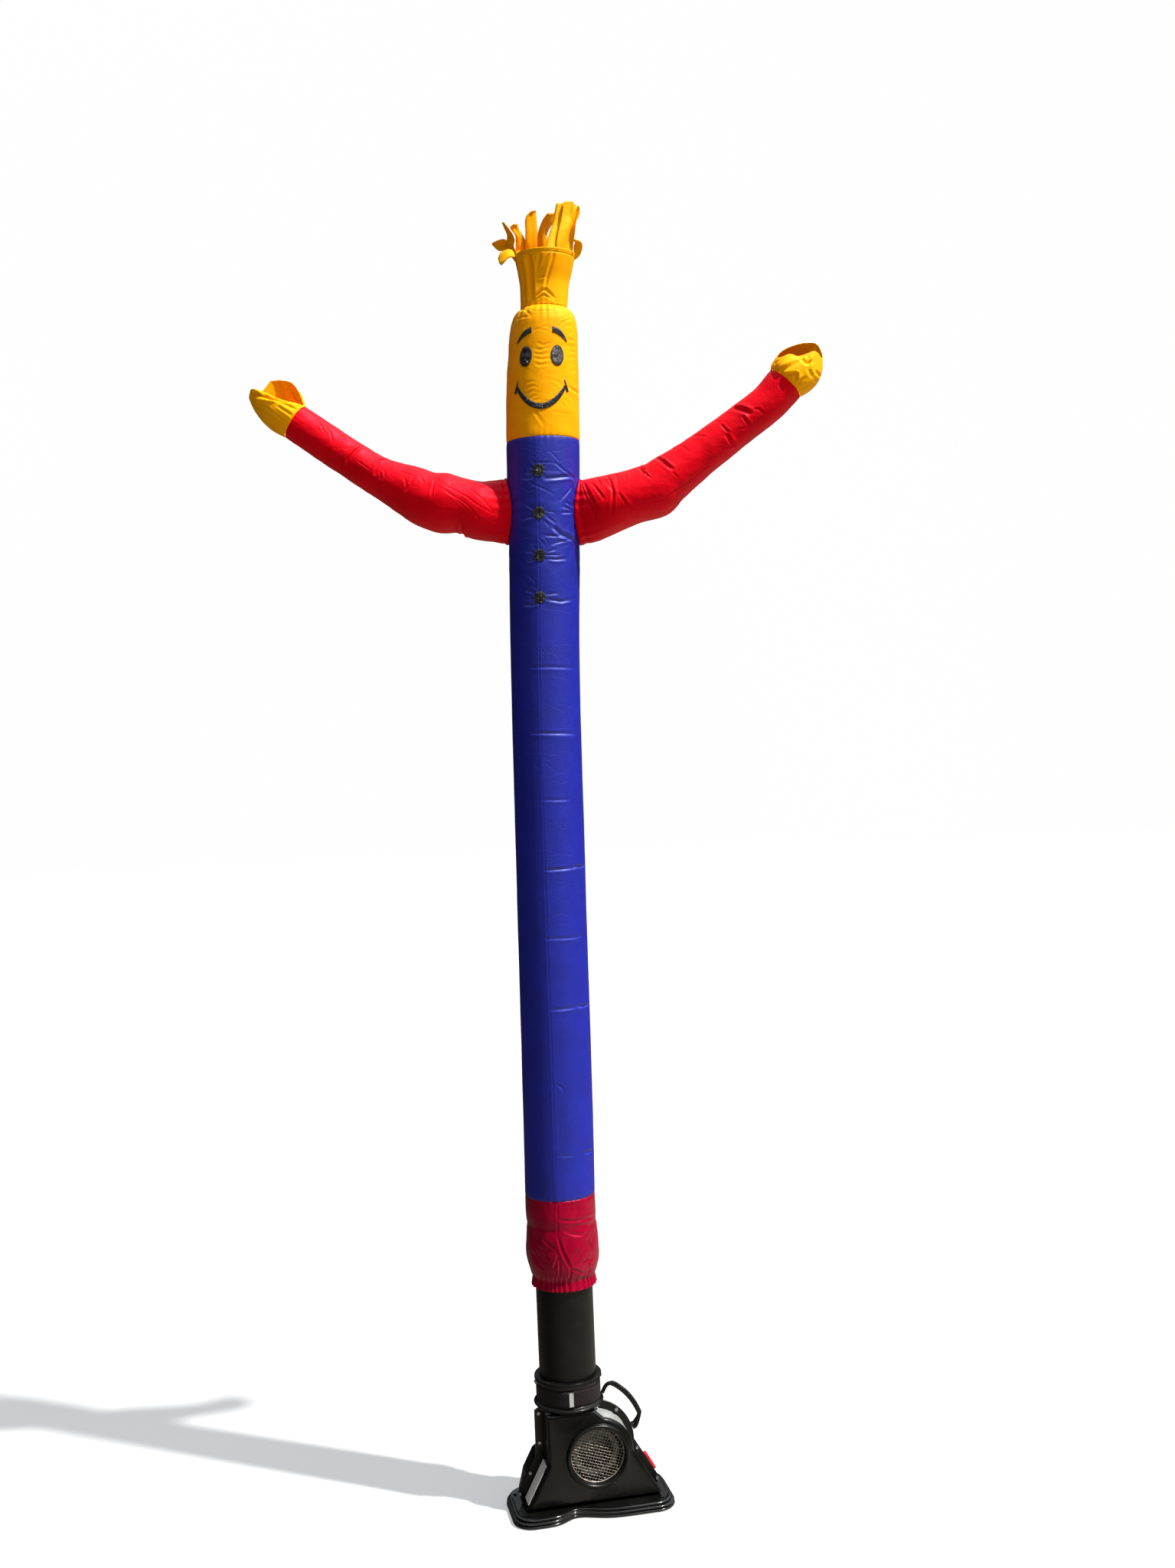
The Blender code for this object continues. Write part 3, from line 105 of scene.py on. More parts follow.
RIM_RIGHT = in_metres((
    (609.6, 30, 2571.8, 12), (635.8, 24, 2568.1, 14), (646.8, 14, 2549, 16), (646.9, -4, 2527.4, 18),
    (630, -22, 2539.2, 16), (609.6, -30, 2533.3, 13), (590.1, -32, 2528.8, 11), (572.7, -28, 2534.8, 9),
    (555.5, -18, 2531.6, 5), (547.3, 0, 2534.8, 2), (559.6, 14, 2551.1, 6), (585.1, 26, 2564.8, 10),
))

# Fringe strips: bow, place and depth of the crease, then the x, y and z of the left and the right
# edge, row after row from the root; z counts from 2700
STRIPS = (
    (3, 0.5, 2, -2, 48, 72, 31, 62, 72, 1, 44, 97, 31, 60, 102, 2, 34, 122, 31, 55, 127, 4, 29, 145, 30,
     50, 151, 6, 24, 172, 28, 44, 188, 20, 26, 188, 29, 44, 195),
    (3, 0.4, -2, 28, 63, 72, 55, 64, 72, 28, 50, 95, 53, 59, 101, 29, 34, 119, 51, 50, 128, 32, 24, 139,
     53, 44, 145, 43, 18, 163, 67, 38, 166, 55, 14, 177, 72, 34, 185),
    (3, 0.58, 5, 52, -65, 71, 76, -58, 71, 53, -58, 91, 79, -53, 92, 60, -48, 116, 82, -45, 119, 67, -40,
     138, 86, -39, 138, 72, -35, 164, 91, -35, 165, 76, -32, 181, 93, -32, 182),
    (4, 0.62, -3, 73, -59, 71, 96, -42, 71, 74, -59, 90, 99, -37, 97, 79, -53, 115, 105, -30, 121, 83,
     -47, 133, 110, -24, 140, 87, -43, 151, 106, -20, 156, 91, -40, 172, 112, -17, 177, 94, -38, 183, 114,
     -16, 188),
    (-2, 0.5, 2, 93, -45, 71, 108, -22, 71, 99, -35, 96, 110, -35, 92, 105, -27, 123, 115, -40, 117, 107,
     -22, 142, 118, -38, 138, 103, -17, 158, 124, -33, 151, 109, -10, 177, 127, -26, 168, 116, -2, 189,
     124, -18, 179),
    (2, 0.5, 1, 109, -12, 71, 111, 12, 71, 110, -7, 79, 122, 2, 77, 110, -9, 93, 129, -7, 91, 113, -13,
     102, 127, -14, 101, 106, -18, 103, 110, -20, 108, 103, -20, 101, 104, -22, 106),
    (4, 0.5, 3, -18, -20, 71, -20, 4, 71, -24, -15, 74, -24, 2, 92, -33, -16, 72, -33, -2, 96, -42, -18,
     64, -42, -4, 94, -50, -17, 58, -53, -4, 88, -54, -13, 62, -55, -4, 78),
    (3, 0.5, -2, -20, 8, 72, -6, 40, 72, -27, 22, 106, -20, 36, 85, -41, 18, 124, -42, 31, 101, -57, 14,
     122, -59, 25, 103, -72, 15, 116, -71, 18, 114),
    (4, 0.45, 3, -18, 16, 72, 9, 55, 72, -20, 32, 98, 9, 55, 103, -19, 28, 116, 6, 48, 118, -19, 20, 133,
     -2, 40, 136, -29, 12, 147, -9, 32, 147, -20, 10, 155, -14, 23, 160),
    (-3, 0.5, -3, -20, 14, 71, -19, -10, 71, -33, 22, 94, -16, 10, 86, -39, 24, 116, -22, 11, 106, -37,
     19, 132, -20, 6, 120, -42, 14, 146, -29, 1, 138, -47, 8, 159, -41, -4, 153),
)

# Folds; their places are heights
BODY_FOLDS = (
    (6, 2.2, 2, 2277, 22, 2279, 46, 2284, 61, 2281), (4, 1.6, 19, 2312, 40, 2293, 61, 2282),
    (3, 0.7, 12, 2336, 29, 2314), (3, 1.0, -15, 2313, 18, 2311),
    (5, 1.8, -35, 2283, -22, 2280, -12, 2285), (4, 1.2, -29, 2292, -13, 2292),
    (3, 1.0, -46, 2267, -31, 2262, -23, 2253, -14, 2255), (3, 0.9, -20, 2270, 4, 2254, 20, 2243),
    (3, 0.9, -6, 2274, -22, 2258), (4, 1.2, 29, 2230, 44, 2249, 53, 2263),
    (5, 1.5, -38, 2193, -23, 2197, -14, 2198), (4, 1.1, -30, 2227, -14, 2213),
    (3, 0.9, 7, 2206, 21, 2204), (4, 1.2, 7, 2195, 22, 2180), (3, 0.9, 4, 2187, 11, 2173),
    (5, 2.0, 40, 2228, 58, 2219), (4, 1.6, 33, 2218, 58, 2211), (4, 1.6, 31, 2204, 58, 2207),
    (7, 3.4, 16, 2174, 30, 2158, 54, 2148, 66, 2140), (4, 1.4, 1, 2155, 26, 2153, 38, 2150),
    (4, 1.4, 13, 2135, 30, 2142, 52, 2148), (3, 0.7, -7, 2150, 1, 2139, 5, 2129),
    (3, 0.7, 1, 2152, 7, 2141, 9, 2130), (4, 1.5, -30, 2122, -13, 2122), (4, 1.4, -27, 2102, -13, 2104),
    (4, 1.4, 6, 2119, 21, 2125), (5, 1.7, 6, 2105, 21, 2103, 41, 2105), (4, 1.2, 7, 2113, 30, 2111),
    (5, 2.0, -36, 2008, -19, 2007, -4, 2011), (4, 1.3, 6, 2028, 26, 2030),
    (5, 2.0, 8, 2017, 30, 2012, 52, 2017), (4, 1.2, -32, 2040, -12, 2032), (3, 0.8, -28, 2029, -12, 2026),
    (3, 0.8, -17, 2157, -39, 2153), (3, 0.6, -25, 2072, -10, 2053),
    (5, 1.1, -25, 1872, 20, 1870, 60, 1868), (5, 1.6, -30, 1730, 10, 1727, 62, 1724),
    (5, 1.1, -10, 1583, 40, 1581), (5, 1.8, -8, 1430, 25, 1431, 48, 1432),
    (6, 3.0, 42, 1435, 62, 1431, 84, 1436), (4, 1.6, 48, 1425, 80, 1424),
    (5, 1.2, -12, 1281, 40, 1279, 66, 1280), (5, 1.5, -4, 1125, 40, 1126),
    (6, 3.0, 40, 1129, 60, 1124, 86, 1128), (4, 1.5, 50, 1118, 78, 1117), (4, 1.2, 2, 962, 14, 948),
    (4, 1.2, 0, 804, 19, 803, 29, 802), (6, 2.6, 47, 803, 60, 801, 80, 798), (3, 0.8, 50, 788, 53, 780),
    (6, 2.0, 150, 1430, 210, 1434), (6, 2.0, 140, 1126, 215, 1122), (5, 1.6, 165, 1728, 230, 1724),
    (5, 1.5, 130, 806, 200, 803), (7, 2.6, 112, 2144, 140, 2158, 165, 2166),
    (6, 2.2, 248, 2144, 225, 2160, 200, 2165), (6, 2.0, 112, 2284, 140, 2279, 170, 2284),
    (6, 2.0, 248, 2290, 215, 2281, 190, 2286), (7, 2.6, -64, 2150, -80, 2140),
    (2.5, 0.9, -6, 2369, -6, 2100, -7, 1900, -7.5, 1650),
    (2.5, 0.9, -7.5, 1650, -7, 1400, -5.4, 1100, -4.3, 800, -4, 704),
)

HEAD_FOLDS = (
    (6, 2.6, -60, 2657, -34, 2648, -20, 2630), (5, 1.8, -54, 2631, -35, 2632, -21, 2629),
    (4, 1.2, 19, 2600, 6, 2606, -3, 2603), (4, 1.1, -16, 2597, -6, 2600, 13, 2594),
    (5, 1.6, -9, 2571, 3, 2564, 16, 2570), (5, 1.6, -13, 2559, -4, 2554, 14, 2561),
    (5, 1.6, -13, 2548, 0, 2544, 14, 2547), (5, 1.7, -12, 2538, 0, 2533, 17, 2536),
    (5, 1.6, -11, 2527, -3, 2521, 14, 2524), (5, 1.6, 49, 2594, 60, 2600), (5, 1.8, 47, 2580, 69, 2582),
    (4, 1.2, 43, 2566, 72, 2569), (4, 1.3, 50, 2556, 79, 2557), (4, 1.3, 45, 2541, 71, 2546),
    (4, 1.2, 46, 2529, 65, 2527), (4, 1.3, 48, 2509, 69, 2519), (7, 3.2, 45, 2478, 60, 2472, 84, 2470),
    (4, 1.3, 39, 2498, 48, 2481), (4, 1.3, 40, 2461, 58, 2452, 66, 2443), (4, 1.2, 37, 2451, 48, 2439),
    (4, 1.1, 31, 2443, 39, 2430), (4, 1.2, -31, 2482, -16, 2488, -8, 2485),
    (4, 1.2, -27, 2471, -13, 2478, -4, 2473), (4, 1.2, -23, 2461, -9, 2469),
    (4, 1.2, -19, 2451, -6, 2457), (4, 1.2, -13, 2445, -1, 2449), (4, 1.4, 4, 2442, 16, 2445),
    (4, 1.2, 14, 2491, 30, 2483, 38, 2470), (4, 1.0, 11, 2482, 24, 2473, 32, 2460),
    (5, 1.7, -14, 2430, -6, 2411, 4, 2389), (4, 1.2, -11, 2427, -1, 2408, 7, 2391),
    (4, 0.9, 25, 2618, 43, 2630, 71, 2645), (4, 1.3, 28, 2606, 42, 2620, 57, 2628),
    (4, 1.2, 30, 2601, 46, 2611, 61, 2613), (4, 1.0, -34, 2653, -14, 2641, 14, 2640, 35, 2646),
    (4, 0.8, 14, 2421, 35, 2418, 59, 2417), (4, 0.8, -31, 2431, -16, 2427),
    (4, 1.0, -72, 2589, -49, 2585), (4, 1.0, -28, 2518, -20, 2512), (2.5, 0.7, -4, 2655, -4, 2600),
    (6, 1.8, 130, 2600, 165, 2612, 200, 2604), (6, 1.6, 150, 2520, 190, 2512),
    (6, 1.8, 220, 2560, 260, 2552), (6, 1.6, 110, 2470, 150, 2462), (6, 1.6, 190, 2440, 235, 2448),
)

CUFF_FOLDS = (
    (5, 1.8, -3, 665, 16, 660, 36, 658, 70, 654), (3, 1.2, -2, 703, -3, 665), (3, 1.2, -3, 661, -5, 625),
    (5, 3.0, -4, 625, 2, 594, 8, 575, 14, 557), (4, 2.0, 14, 557, 13, 531),
    (4, 2.2, -4, 585, -9, 571, -13, 557), (4, 2.0, -3, 582, -4, 534), (3, 1.2, -32, 572, -23, 569),
    (5, 1.8, -44, 603, -30, 592, -20, 577), (4, 1.6, -40, 632, -22, 612, -9, 601),
    (6, 2.4, -55, 586, -45, 567, -31, 554), (4, 1.8, 47, 615, 55, 596, 65, 575),
    (4, 1.4, 44, 624, 49, 627), (4, 2.2, 32, 561, 45, 566, 56, 567), (4, 1.8, 47, 555, 57, 565),
    (3, 1.2, 55, 554, 65, 551), (4, 1.8, 14, 556, 27, 547, 40, 536), (4, 1.8, 41, 536, 63, 542),
    (5, 1.8, 6, 640, 21, 629, 46, 622), (3, 1.0, 23, 648, 50, 644),
    (6, 2.2, 110, 600, 128, 570, 134, 545), (6, 2.4, 170, 620, 160, 590, 168, 550),
    (5, 2.0, 210, 640, 226, 600, 220, 560), (5, 2.0, 262, 590, 250, 560),
    (5, 1.6, 130, 660, 190, 656, 240, 662),
)

# Arm folds; their places are counted along x
LEFT_FOLDS = (
    (2.5, 0.9, 27, -220, -3, -139, -33, -93), (2.5, 0.9, 36, -220, 14, -148, -11, -85),
    (2.5, 0.8, 37, -153, 13, -108, -9, -85), (2.5, 0.7, 26, -203, -1, -160, -29, -98),
    (6, 3.0, 63, -392, 22, -395, -11, -397, -30, -392), (4, 1.8, 11, -411, 46, -399),
    (5, 2.6, 85, -334, 41, -349, -8, -342), (4, 1.6, 49, -337, 19, -339, -7, -340),
    (4, 1.4, 8, -332, -11, -329), (4, 1.2, 17, -328, 0, -322), (4, 1.6, 30, -270, 6, -269, -12, -273),
    (4, 1.2, 17, -284, -1, -274), (4, 2.0, 42, -211, 32, -224, 1, -220), (3, 1.2, -14, -124, -30, -130),
    (3, 1.0, -17, -118, -26, -115), (4, 1.2, 44, -482, 78, -465), (4, 1.1, 54, -489, 21, -461),
    (4, 1.0, 44, -470, 33, -451, 10, -439), (4, 1.0, 58, -441, 34, -419), (3, 0.9, 31, -300, 30, -270),
    (3, 0.9, 35, -260, 22, -247), (3, 0.8, 3, -384, 0, -354), (4, 1.0, 35, -186, 52, -152, 46, -109),
    (7, 4.0, -110, -143, -80, -142, -48, -147), (4, 1.0, 74, -460, 69, -427, 62, -402),
    (6, 2.2, 110, -330, 160, -340, 200, -334), (6, 2.2, 120, -240, 170, -232, 215, -240),
    (6, 2.0, 130, -420, 185, -412), (6, 2.0, 150, -130, 200, -150),
)

RIGHT_FOLDS = (
    (9, 4.2, 62, 465, 34, 473, -1, 483), (5, 2.2, 12, 468, -7, 468, -24, 469),
    (4, 1.5, 8, 491, -2, 499, -24, 502), (4, 1.6, 33, 429, 7, 430, -7, 432),
    (6, 2.8, -1, 425, -26, 425, -53, 428), (4, 1.4, -22, 403, -40, 420, -45, 428),
    (4, 1.2, 10, 550, -14, 547), (3, 0.8, 76, 562, 31, 552), (6, 3.0, 80, 302, 27, 306, 4, 311),
    (4, 1.6, 44, 308, 10, 308), (5, 2.4, 75, 246, 41, 252, 19, 268), (4, 1.8, 68, 261, 34, 262),
    (5, 2.2, 73, 180, 37, 181, 12, 180, -30, 162), (4, 1.8, 50, 172, 21, 177),
    (5, 2.2, 63, 126, 28, 130, 2, 134), (4, 1.8, 53, 142, 22, 152, 3, 158), (4, 1.5, 70, 158, 35, 160),
    (4, 2.0, 8, 190, -16, 198, -36, 213), (3, 1.2, -26, 203, -41, 201),
    (2.5, 0.9, -25, 237, -37, 289, -44, 332, -40, 380), (3, 1.4, -53, 302, -90, 292),
    (3, 0.8, -43, 363, -54, 389), (4, 1.6, 67, 118, 12, 124, -20, 128), (3, 1.2, -10, 133, -25, 126),
    (3, 1.2, 0, 307, -17, 310), (4, 1.2, 75, 376, 26, 395), (4, 1.0, 59, 349, 19, 354),
    (4, 1.0, 90, 333, 47, 350), (3, 1.0, 61, 427, 39, 431), (4, 1.4, -13, 448, -20, 459),
    (3, 0.9, -21, 486, -30, 503), (4, 1.5, 66, 199, 26, 195), (4, 1.2, 69, 216, 30, 213),
    (6, 2.2, 110, 300, 160, 310, 200, 304), (6, 2.2, 120, 420, 170, 410, 215, 420),
    (6, 2.0, 150, 180, 210, 192),
)

# Hair tube's folds; their places are heights
HAIR_FOLDS = (
    (7, 6.5, -34, 2775, -32, 2740, -31, 2705, -30, 2668), (4, 2.4, -33, 2775, -22, 2722),
    (4, 2.4, -4, 2775, -16, 2724), (3, 1.6, 16, 2772, -12, 2724), (4, 2.6, 24, 2775, 8, 2712, 4, 2690),
    (3, 1.6, -16, 2717, 6, 2718), (4, 2.4, -26, 2672, -2, 2690, 6, 2690, 32, 2670),
    (3, 1.4, -28, 2666, 2, 2680, 34, 2664), (5, 0.9, 58, 2760, 56, 2710, 52, 2668),
    (5, 1.2, -58, 2770, -54, 2700, -50, 2664), (9, 5.0, 130, 2780, 130, 2690),
    (9, 4.5, -128, 2780, -128, 2690), (5, 2.0, 175, 2770, 170, 2680), (5, 1.6, 100, 2750, 104, 2680),
    (5, 1.6, -90, 2750, -84, 2680),
)

# Hand folds; their places are in percent of the way to the rim
LEFT_HAND_FOLDS = (
    (7, 4.2, -62, 93, -22, 84, 18, 66, 48, 34), (4, 2.0, 30, 5, 24, 35, 6, 62), (4, 1.6, 52, 5, 40, 30),
    (4, 1.6, 8, 5, 0, 45), (4, 1.4, -20, 5, -26, 50, -50, 80), (4, 1.4, -6, 95, 6, 70),
    (3, 1.2, -34, 98, -30, 84), (5, 1.8, -70, 10, -64, 60), (6, 2.6, 146, 95, 156, 55, 150, 25),
    (5, 2.0, 118, 90, 126, 50), (6, 2.0, -170, 10, -176, 80), (5, 1.8, -140, 20, -128, 80),
)

RIGHT_HAND_FOLDS = (
    (6, 3.4, 28, 3, 10, 40, -4, 78), (5, 2.6, 10, 2, -14, 30, -22, 4),
    (5, 2.4, -14, 86, -30, 70, -52, 78), (5, 2.2, -36, 92, -40, 55, -60, 40), (4, 1.8, -66, 42, -92, 50),
    (4, 1.6, -62, 56, -90, 62), (4, 1.8, -30, 5, -40, 36), (4, 1.5, -52, 6, -64, 30),
    (4, 1.8, 56, 10, 60, 50, 44, 85), (5, 2.0, 80, 20, 96, 70), (6, 2.8, -142, 95, -160, 60, -176, 35),
    (6, 2.4, 150, 10, 160, 70),
)

# The base's edge: height, inset
BASE_PROFILE = in_metres((
    (0, 5), (0.4, 2.2), (1.4, 0.8), (2.8, 0.1), (4.4, 0), (5.8, 0.6), (6.6, 2), (7, 4.4), (7.8, 5),
    (8.4, 4.2), (9, 2.2), (10, 1), (11.4, 0.8), (12.6, 1.4), (13.4, 2.8), (13.8, 5.8), (14.4, 6.8),
    (15.4, 6.6), (16.4, 5.4), (17.6, 5.2), (18.8, 5.8), (19.6, 7), (20, 8.6), (19.9, 10.4), (19.3, 11.8),
    (18.4, 13.2), (18.1, 16), (18.1, 24),
))

# The handle's line: x, z, radius
HANDLE = in_metres((
    (39.4, 241.3, 4.2), (42.8, 248, 4.3), (48, 256, 4.3), (55, 260.3, 4.4), (64, 258.8, 4.5),
    (77, 250, 4.6), (93, 235, 4.7), (107, 217, 4.7), (118, 197, 4.5), (122.8, 184.5, 4.5),
    (120, 175.5, 5.2), (115.8, 167, 6.6), (111, 160.2, 8), (105.2, 158.1, 8.6),
))


# Materials

class Shade:
    """A node tree with short ways to add to it; values are numbers or other nodes' outputs."""

    def __init__(self, owner, last="Principled BSDF"):
        owner.use_nodes = True
        self.owner, self.tree = owner, owner.node_tree
        self.last = self.tree.nodes[last]
        self.coords = self.add("TexCoord")
        self.place = self.coords.outputs["Object"]

    def join(self, socket, value):
        if isinstance(value, bpy.types.NodeSocket):
            self.tree.links.new(value, socket)
        elif value is not None:
            socket.default_value = value

    def put(self, node, **values):
        for key, value in values.items():
            self.join(node.inputs[key.replace("_", " ")], value)
        return node

    def add(self, kind, **values):
        return self.put(self.tree.nodes.new("ShaderNode" + kind), **values)

    def noise(self, scale, detail=3.0, rough=0.5, vector=None, wander=0.0):
        vector = vector or self.place
        return self.add("TexNoise", Scale=scale, Detail=detail, Roughness=rough, Vector=vector,
                        Distortion=wander).outputs["Fac"]

    def ramp(self, source, *stops):
        """Colours or greys at places from 0 to 1 of the source."""
        node = self.add("ValToRGB", Fac=source)
        elements = node.color_ramp.elements
        while len(elements) < len(stops):
            elements.new(0.5)
        for element, (place, level) in zip(elements, stops):
            element.position = place
            element.color = (*level, 1.0) if isinstance(level, tuple) else (level, level, level, 1.0)
        return node.outputs["Color"]

    def bump(self, height, distance, strength, under=None):
        return self.add("Bump", Height=height, Distance=distance, Strength=strength,
                        Normal=under).outputs["Normal"]

    def wave(self, way, period, wander=0.0):
        """Bands across the cloth's own map, at a period in metres."""
        weave = self.add("UVMap")
        weave.uv_map = "weave"
        node = self.add("TexWave", Vector=weave.outputs["UV"], Scale=0.314 / period, Distortion=wander)
        node.bands_direction = way
        return node.outputs["Fac"]

    def maths(self, operation, *values):
        node = self.add("Math")
        node.operation = operation
        for socket, value in zip(node.inputs, values):
            self.join(socket, value)
        return node.outputs["Value"]

    def between(self, value, low, high, **levels):
        return self.add("MapRange", Value=value, From_Min=low, From_Max=high, **levels).outputs["Result"]

    def mix(self, amount, first, second):
        return self.add("MixRGB", Fac=amount, Color1=first, Color2=second).outputs["Color"]

    def mapped(self, stretch, turn):
        return self.add("Mapping", Vector=self.place, Scale=stretch, Rotation=turn).outputs["Vector"]

    def creases(self, scale, stretch, turn, width, patch):
        """Thin wandering lines, 0 on a line and 1 off it, that show only in some patches."""
        placed = self.mapped(stretch, turn)
        away = self.maths("SUBTRACT", self.noise(scale, 2.0, 0.5, placed, 0.5), 0.5)
        line = self.ramp(self.maths("ABSOLUTE", away), (0.0, 0.0), (width, 1.0))
        bare = self.ramp(self.noise(patch, 1.0, 0.5, placed), (0.50, 0.0), (0.62, 1.0))
        return self.maths("MAXIMUM", line, bare)

    def done(self, **values):
        self.put(self.last, **values)
        return self.owner


def new_shade(name):
    return Shade(bpy.data.materials.new(name))


def nylon(name, light, dark, tint, rough, specular, coat, crease):
    """Thin coated nylon: a faint ripstop grid, dry creases, and a thin glossy coat."""
    shade = new_shade(name)
    ribs = [shade.ramp(shade.wave(way, 0.0052), (0.93, 0.0), (1.0, 1.0)) for way in "XY"]
    long_lines = shade.creases(13.0, (1.0, 1.0, 1.9), (0.0, 0.5, 0.3), 0.016, 5.0)
    short_lines = shade.creases(24.0, (1.5, 1.0, 1.0), (0.0, -0.7, 1.1), 0.020, 8.0)
    cracked = shade.bump(short_lines, 0.0007, crease, shade.bump(long_lines, 0.0010, crease))
    crinkle = shade.noise(60.0, 4.0, 0.55)
    dry = shade.bump(crinkle, 0.0008, crease, cracked)
    ribbed = shade.bump(shade.maths("MAXIMUM", *ribs), 0.0002, 0.16, dry)
    return shade.done(
        Base_Color=shade.ramp(shade.noise(14.0, 4.0, 0.6), (0.30, dark), (0.62, light)),
        Roughness=shade.ramp(crinkle, (0.0, rough - 0.05), (1.0, rough + 0.06)),
        Normal=shade.bump(shade.wave("X", 0.0009), 0.0002, 0.2, ribbed), Coat_Normal=dry,
        Coat_Weight=coat, Coat_Roughness=0.28, Specular_Tint=(*tint, 1.0), Specular_IOR_Level=specular)


def patch_vinyl(name, light, dark, rough):
    """Crinkled soft vinyl inside a black stitched edge, which the rim value marks."""
    shade = new_shade(name)
    marked = shade.add("Attribute")
    marked.attribute_name = "rim"
    rim = marked.outputs["Fac"]
    cloud = shade.noise(90.0, 4.0, 0.6)
    inside = shade.ramp(cloud, (0.36, dark), (0.62, light))
    edge = shade.ramp(shade.noise(400.0, 2.0), (0.0, (0.0025, 0.0025, 0.002)), (1.0, (0.010, 0.010, 0.009)))
    lines = shade.creases(90.0, (1.0, 1.0, 1.4), (0.3, 0.6, 0.2), 0.03, 40.0)
    soft = shade.bump(cloud, 0.0020, 0.8, shade.bump(lines, 0.0008, 0.8))
    return shade.done(
        Base_Color=shade.mix(rim, inside, edge), Roughness=shade.ramp(rim, (0.0, rough), (1.0, 0.75)),
        Normal=shade.bump(shade.wave("DIAGONAL", 0.0012), 0.0002, 0.25, soft), Specular_IOR_Level=0.7)


def top_dust_and_sheen(shade, clean, low):
    """Pale dust and a painted sheen of bright sky over a colour, on what faces up above a height."""
    shape = shade.add("NewGeometry")
    facing = shade.add("SeparateXYZ", Vector=shape.outputs["Normal"])
    place = shade.add("SeparateXYZ", Vector=shape.outputs["Position"])
    up = shade.ramp(facing.outputs["Z"], (0.22, 0.0), (0.50, 1.0))
    above = shade.between(place.outputs["Z"], low - 0.006, low + 0.006)
    behind = shade.between(place.outputs["Y"], -0.0505, -0.0470)
    cloud = shade.noise(60.0, 4.0, 0.6, shape.outputs["Position"])
    # The pale grey is partly dust and partly a painted highlight of the sky on faces that point up
    pale = shade.ramp(cloud, (0.35, (0.24, 0.25, 0.235)), (0.65, (0.36, 0.37, 0.35)))
    return shade.mix(shade.maths("MULTIPLY", shade.maths("MULTIPLY", up, above), behind), clean, pale)


def moulded(name, base, worn, rough, grain, scratch, coat=0.0, dust_and_sheen_above=None):
    """Moulded plastic with a faint orange-peel skin and scuffs, and above a height pale dust with a painted
    sky sheen.
    """
    shade = new_shade(name)
    wear = shade.noise(14.0, 6.0, 0.7)
    colour = shade.ramp(wear, (0.52, base), (0.88, worn))
    if dust_and_sheen_above:
        colour = top_dust_and_sheen(shade, colour, dust_and_sheen_above)
    fine = shade.bump(shade.noise(260.0, 2.0), grain, 0.35)
    drawn = shade.noise(420.0, 2.0, 0.4, shade.mapped((1.0, 1.0, 0.08), (0.3, 0.5, 0.2)))
    return shade.done(
        Base_Color=colour, Roughness=shade.ramp(wear, (0.40, rough), (0.85, rough + 0.22)),
        Normal=shade.bump(shade.ramp(drawn, (0.66, 0.0), (0.74, 1.0)), 0.0002, scratch, fine),
        Coat_Weight=coat, Coat_Roughness=0.12, Specular_IOR_Level=0.30)


def metal(name, light, dark, rough, metallic=0.9):
    shade = new_shade(name)
    grime = shade.noise(160.0, 5.0, 0.65)
    return shade.done(
        Base_Color=shade.ramp(grime, (0.38, dark), (0.60, light)), Metallic=metallic,
        Roughness=shade.ramp(grime, (0.3, rough + 0.2), (0.7, rough)), Normal=shade.bump(grime, 0.0004, 0.4))


def webbing(name, light, dark):
    """Woven strap: upright ribs with fuzzy speckle."""
    shade = new_shade(name)
    ribbed = shade.bump(shade.wave("X", 0.0034, 1.0), 0.0006, 0.45)
    fuzz = shade.noise(900.0, 2.0, 0.6)
    return shade.done(
        Base_Color=shade.ramp(fuzz, (0.45, dark), (0.75, light)),
        Normal=shade.bump(fuzz, 0.0006, 0.8, ribbed), Roughness=0.8,
        Sheen_Weight=0.03, Sheen_Roughness=0.5, Specular_IOR_Level=0.2)


# Cloths: light, dark and shine colours, roughness, shine, coat and crease strength
BLUE = nylon(
    "blue_nylon", (0.0014, 0.0056, 0.3), (0.0008, 0.0032, 0.24), (0.7, 0.8, 1.0), 0.5, 0.8, 0.03, 0.21)
YELLOW = nylon(
    "yellow_nylon", (0.98, 0.4, 0.0001), (0.9, 0.335, 0.0001), (1.0, 0.62, 0.02), 0.55, 0.35, 0.0, 0.17)
FRINGE = nylon(
    "fringe_nylon", (1.0, 0.43, 0.0001), (0.95, 0.375, 0.0001), (1.0, 0.64, 0.03), 0.6, 0.3, 0.0, 0.1)
STRIPS_YELLOW = nylon(
    "strip_nylon", (0.84, 0.385, 0.0001), (0.78, 0.335, 0.0001), (1.0, 0.64, 0.03), 0.6, 0.3, 0.0, 0.1)
RED = nylon(
    "red_nylon", (0.77, 0.0001, 0.0062), (0.62, 0.0001, 0.0032), (1.0, 0.06, 0.22), 0.5, 0.36, 0.01, 0.24)
BURGUNDY = nylon(
    "burgundy_nylon", (0.33, 0.0002, 0.022), (0.225, 0.0001, 0.013), (1.0, 0.2, 0.4), 0.31, 0.55, 0.02, 0.26)
TAG = nylon("tag_cloth", (0.5, 0.5, 0.48), (0.4, 0.4, 0.38), (1.0, 1.0, 1.0), 0.6, 0.4, 0.0, 0.2)
PATCH_BLACK = patch_vinyl("patch_vinyl", (0.010, 0.0098, 0.0090), (0.003, 0.0030, 0.0030), 0.30)
BUTTON_GREY = patch_vinyl("button_vinyl", (0.014, 0.014, 0.0145), (0.005, 0.005, 0.005), 0.22)
EYE_DARK = patch_vinyl("eye_vinyl_dark", (0.010, 0.0062, 0.0058), (0.003, 0.0022, 0.0022), 0.28)
# The right eye's vinyl is the left eye's made paler: painted sunlight and sheen on the lit side of the head
EYE_PAINTED_SUNLIT = patch_vinyl("eye_vinyl_painted_sunlit", (0.075, 0.069, 0.066), (0.022, 0.020, 0.020), 0.34)
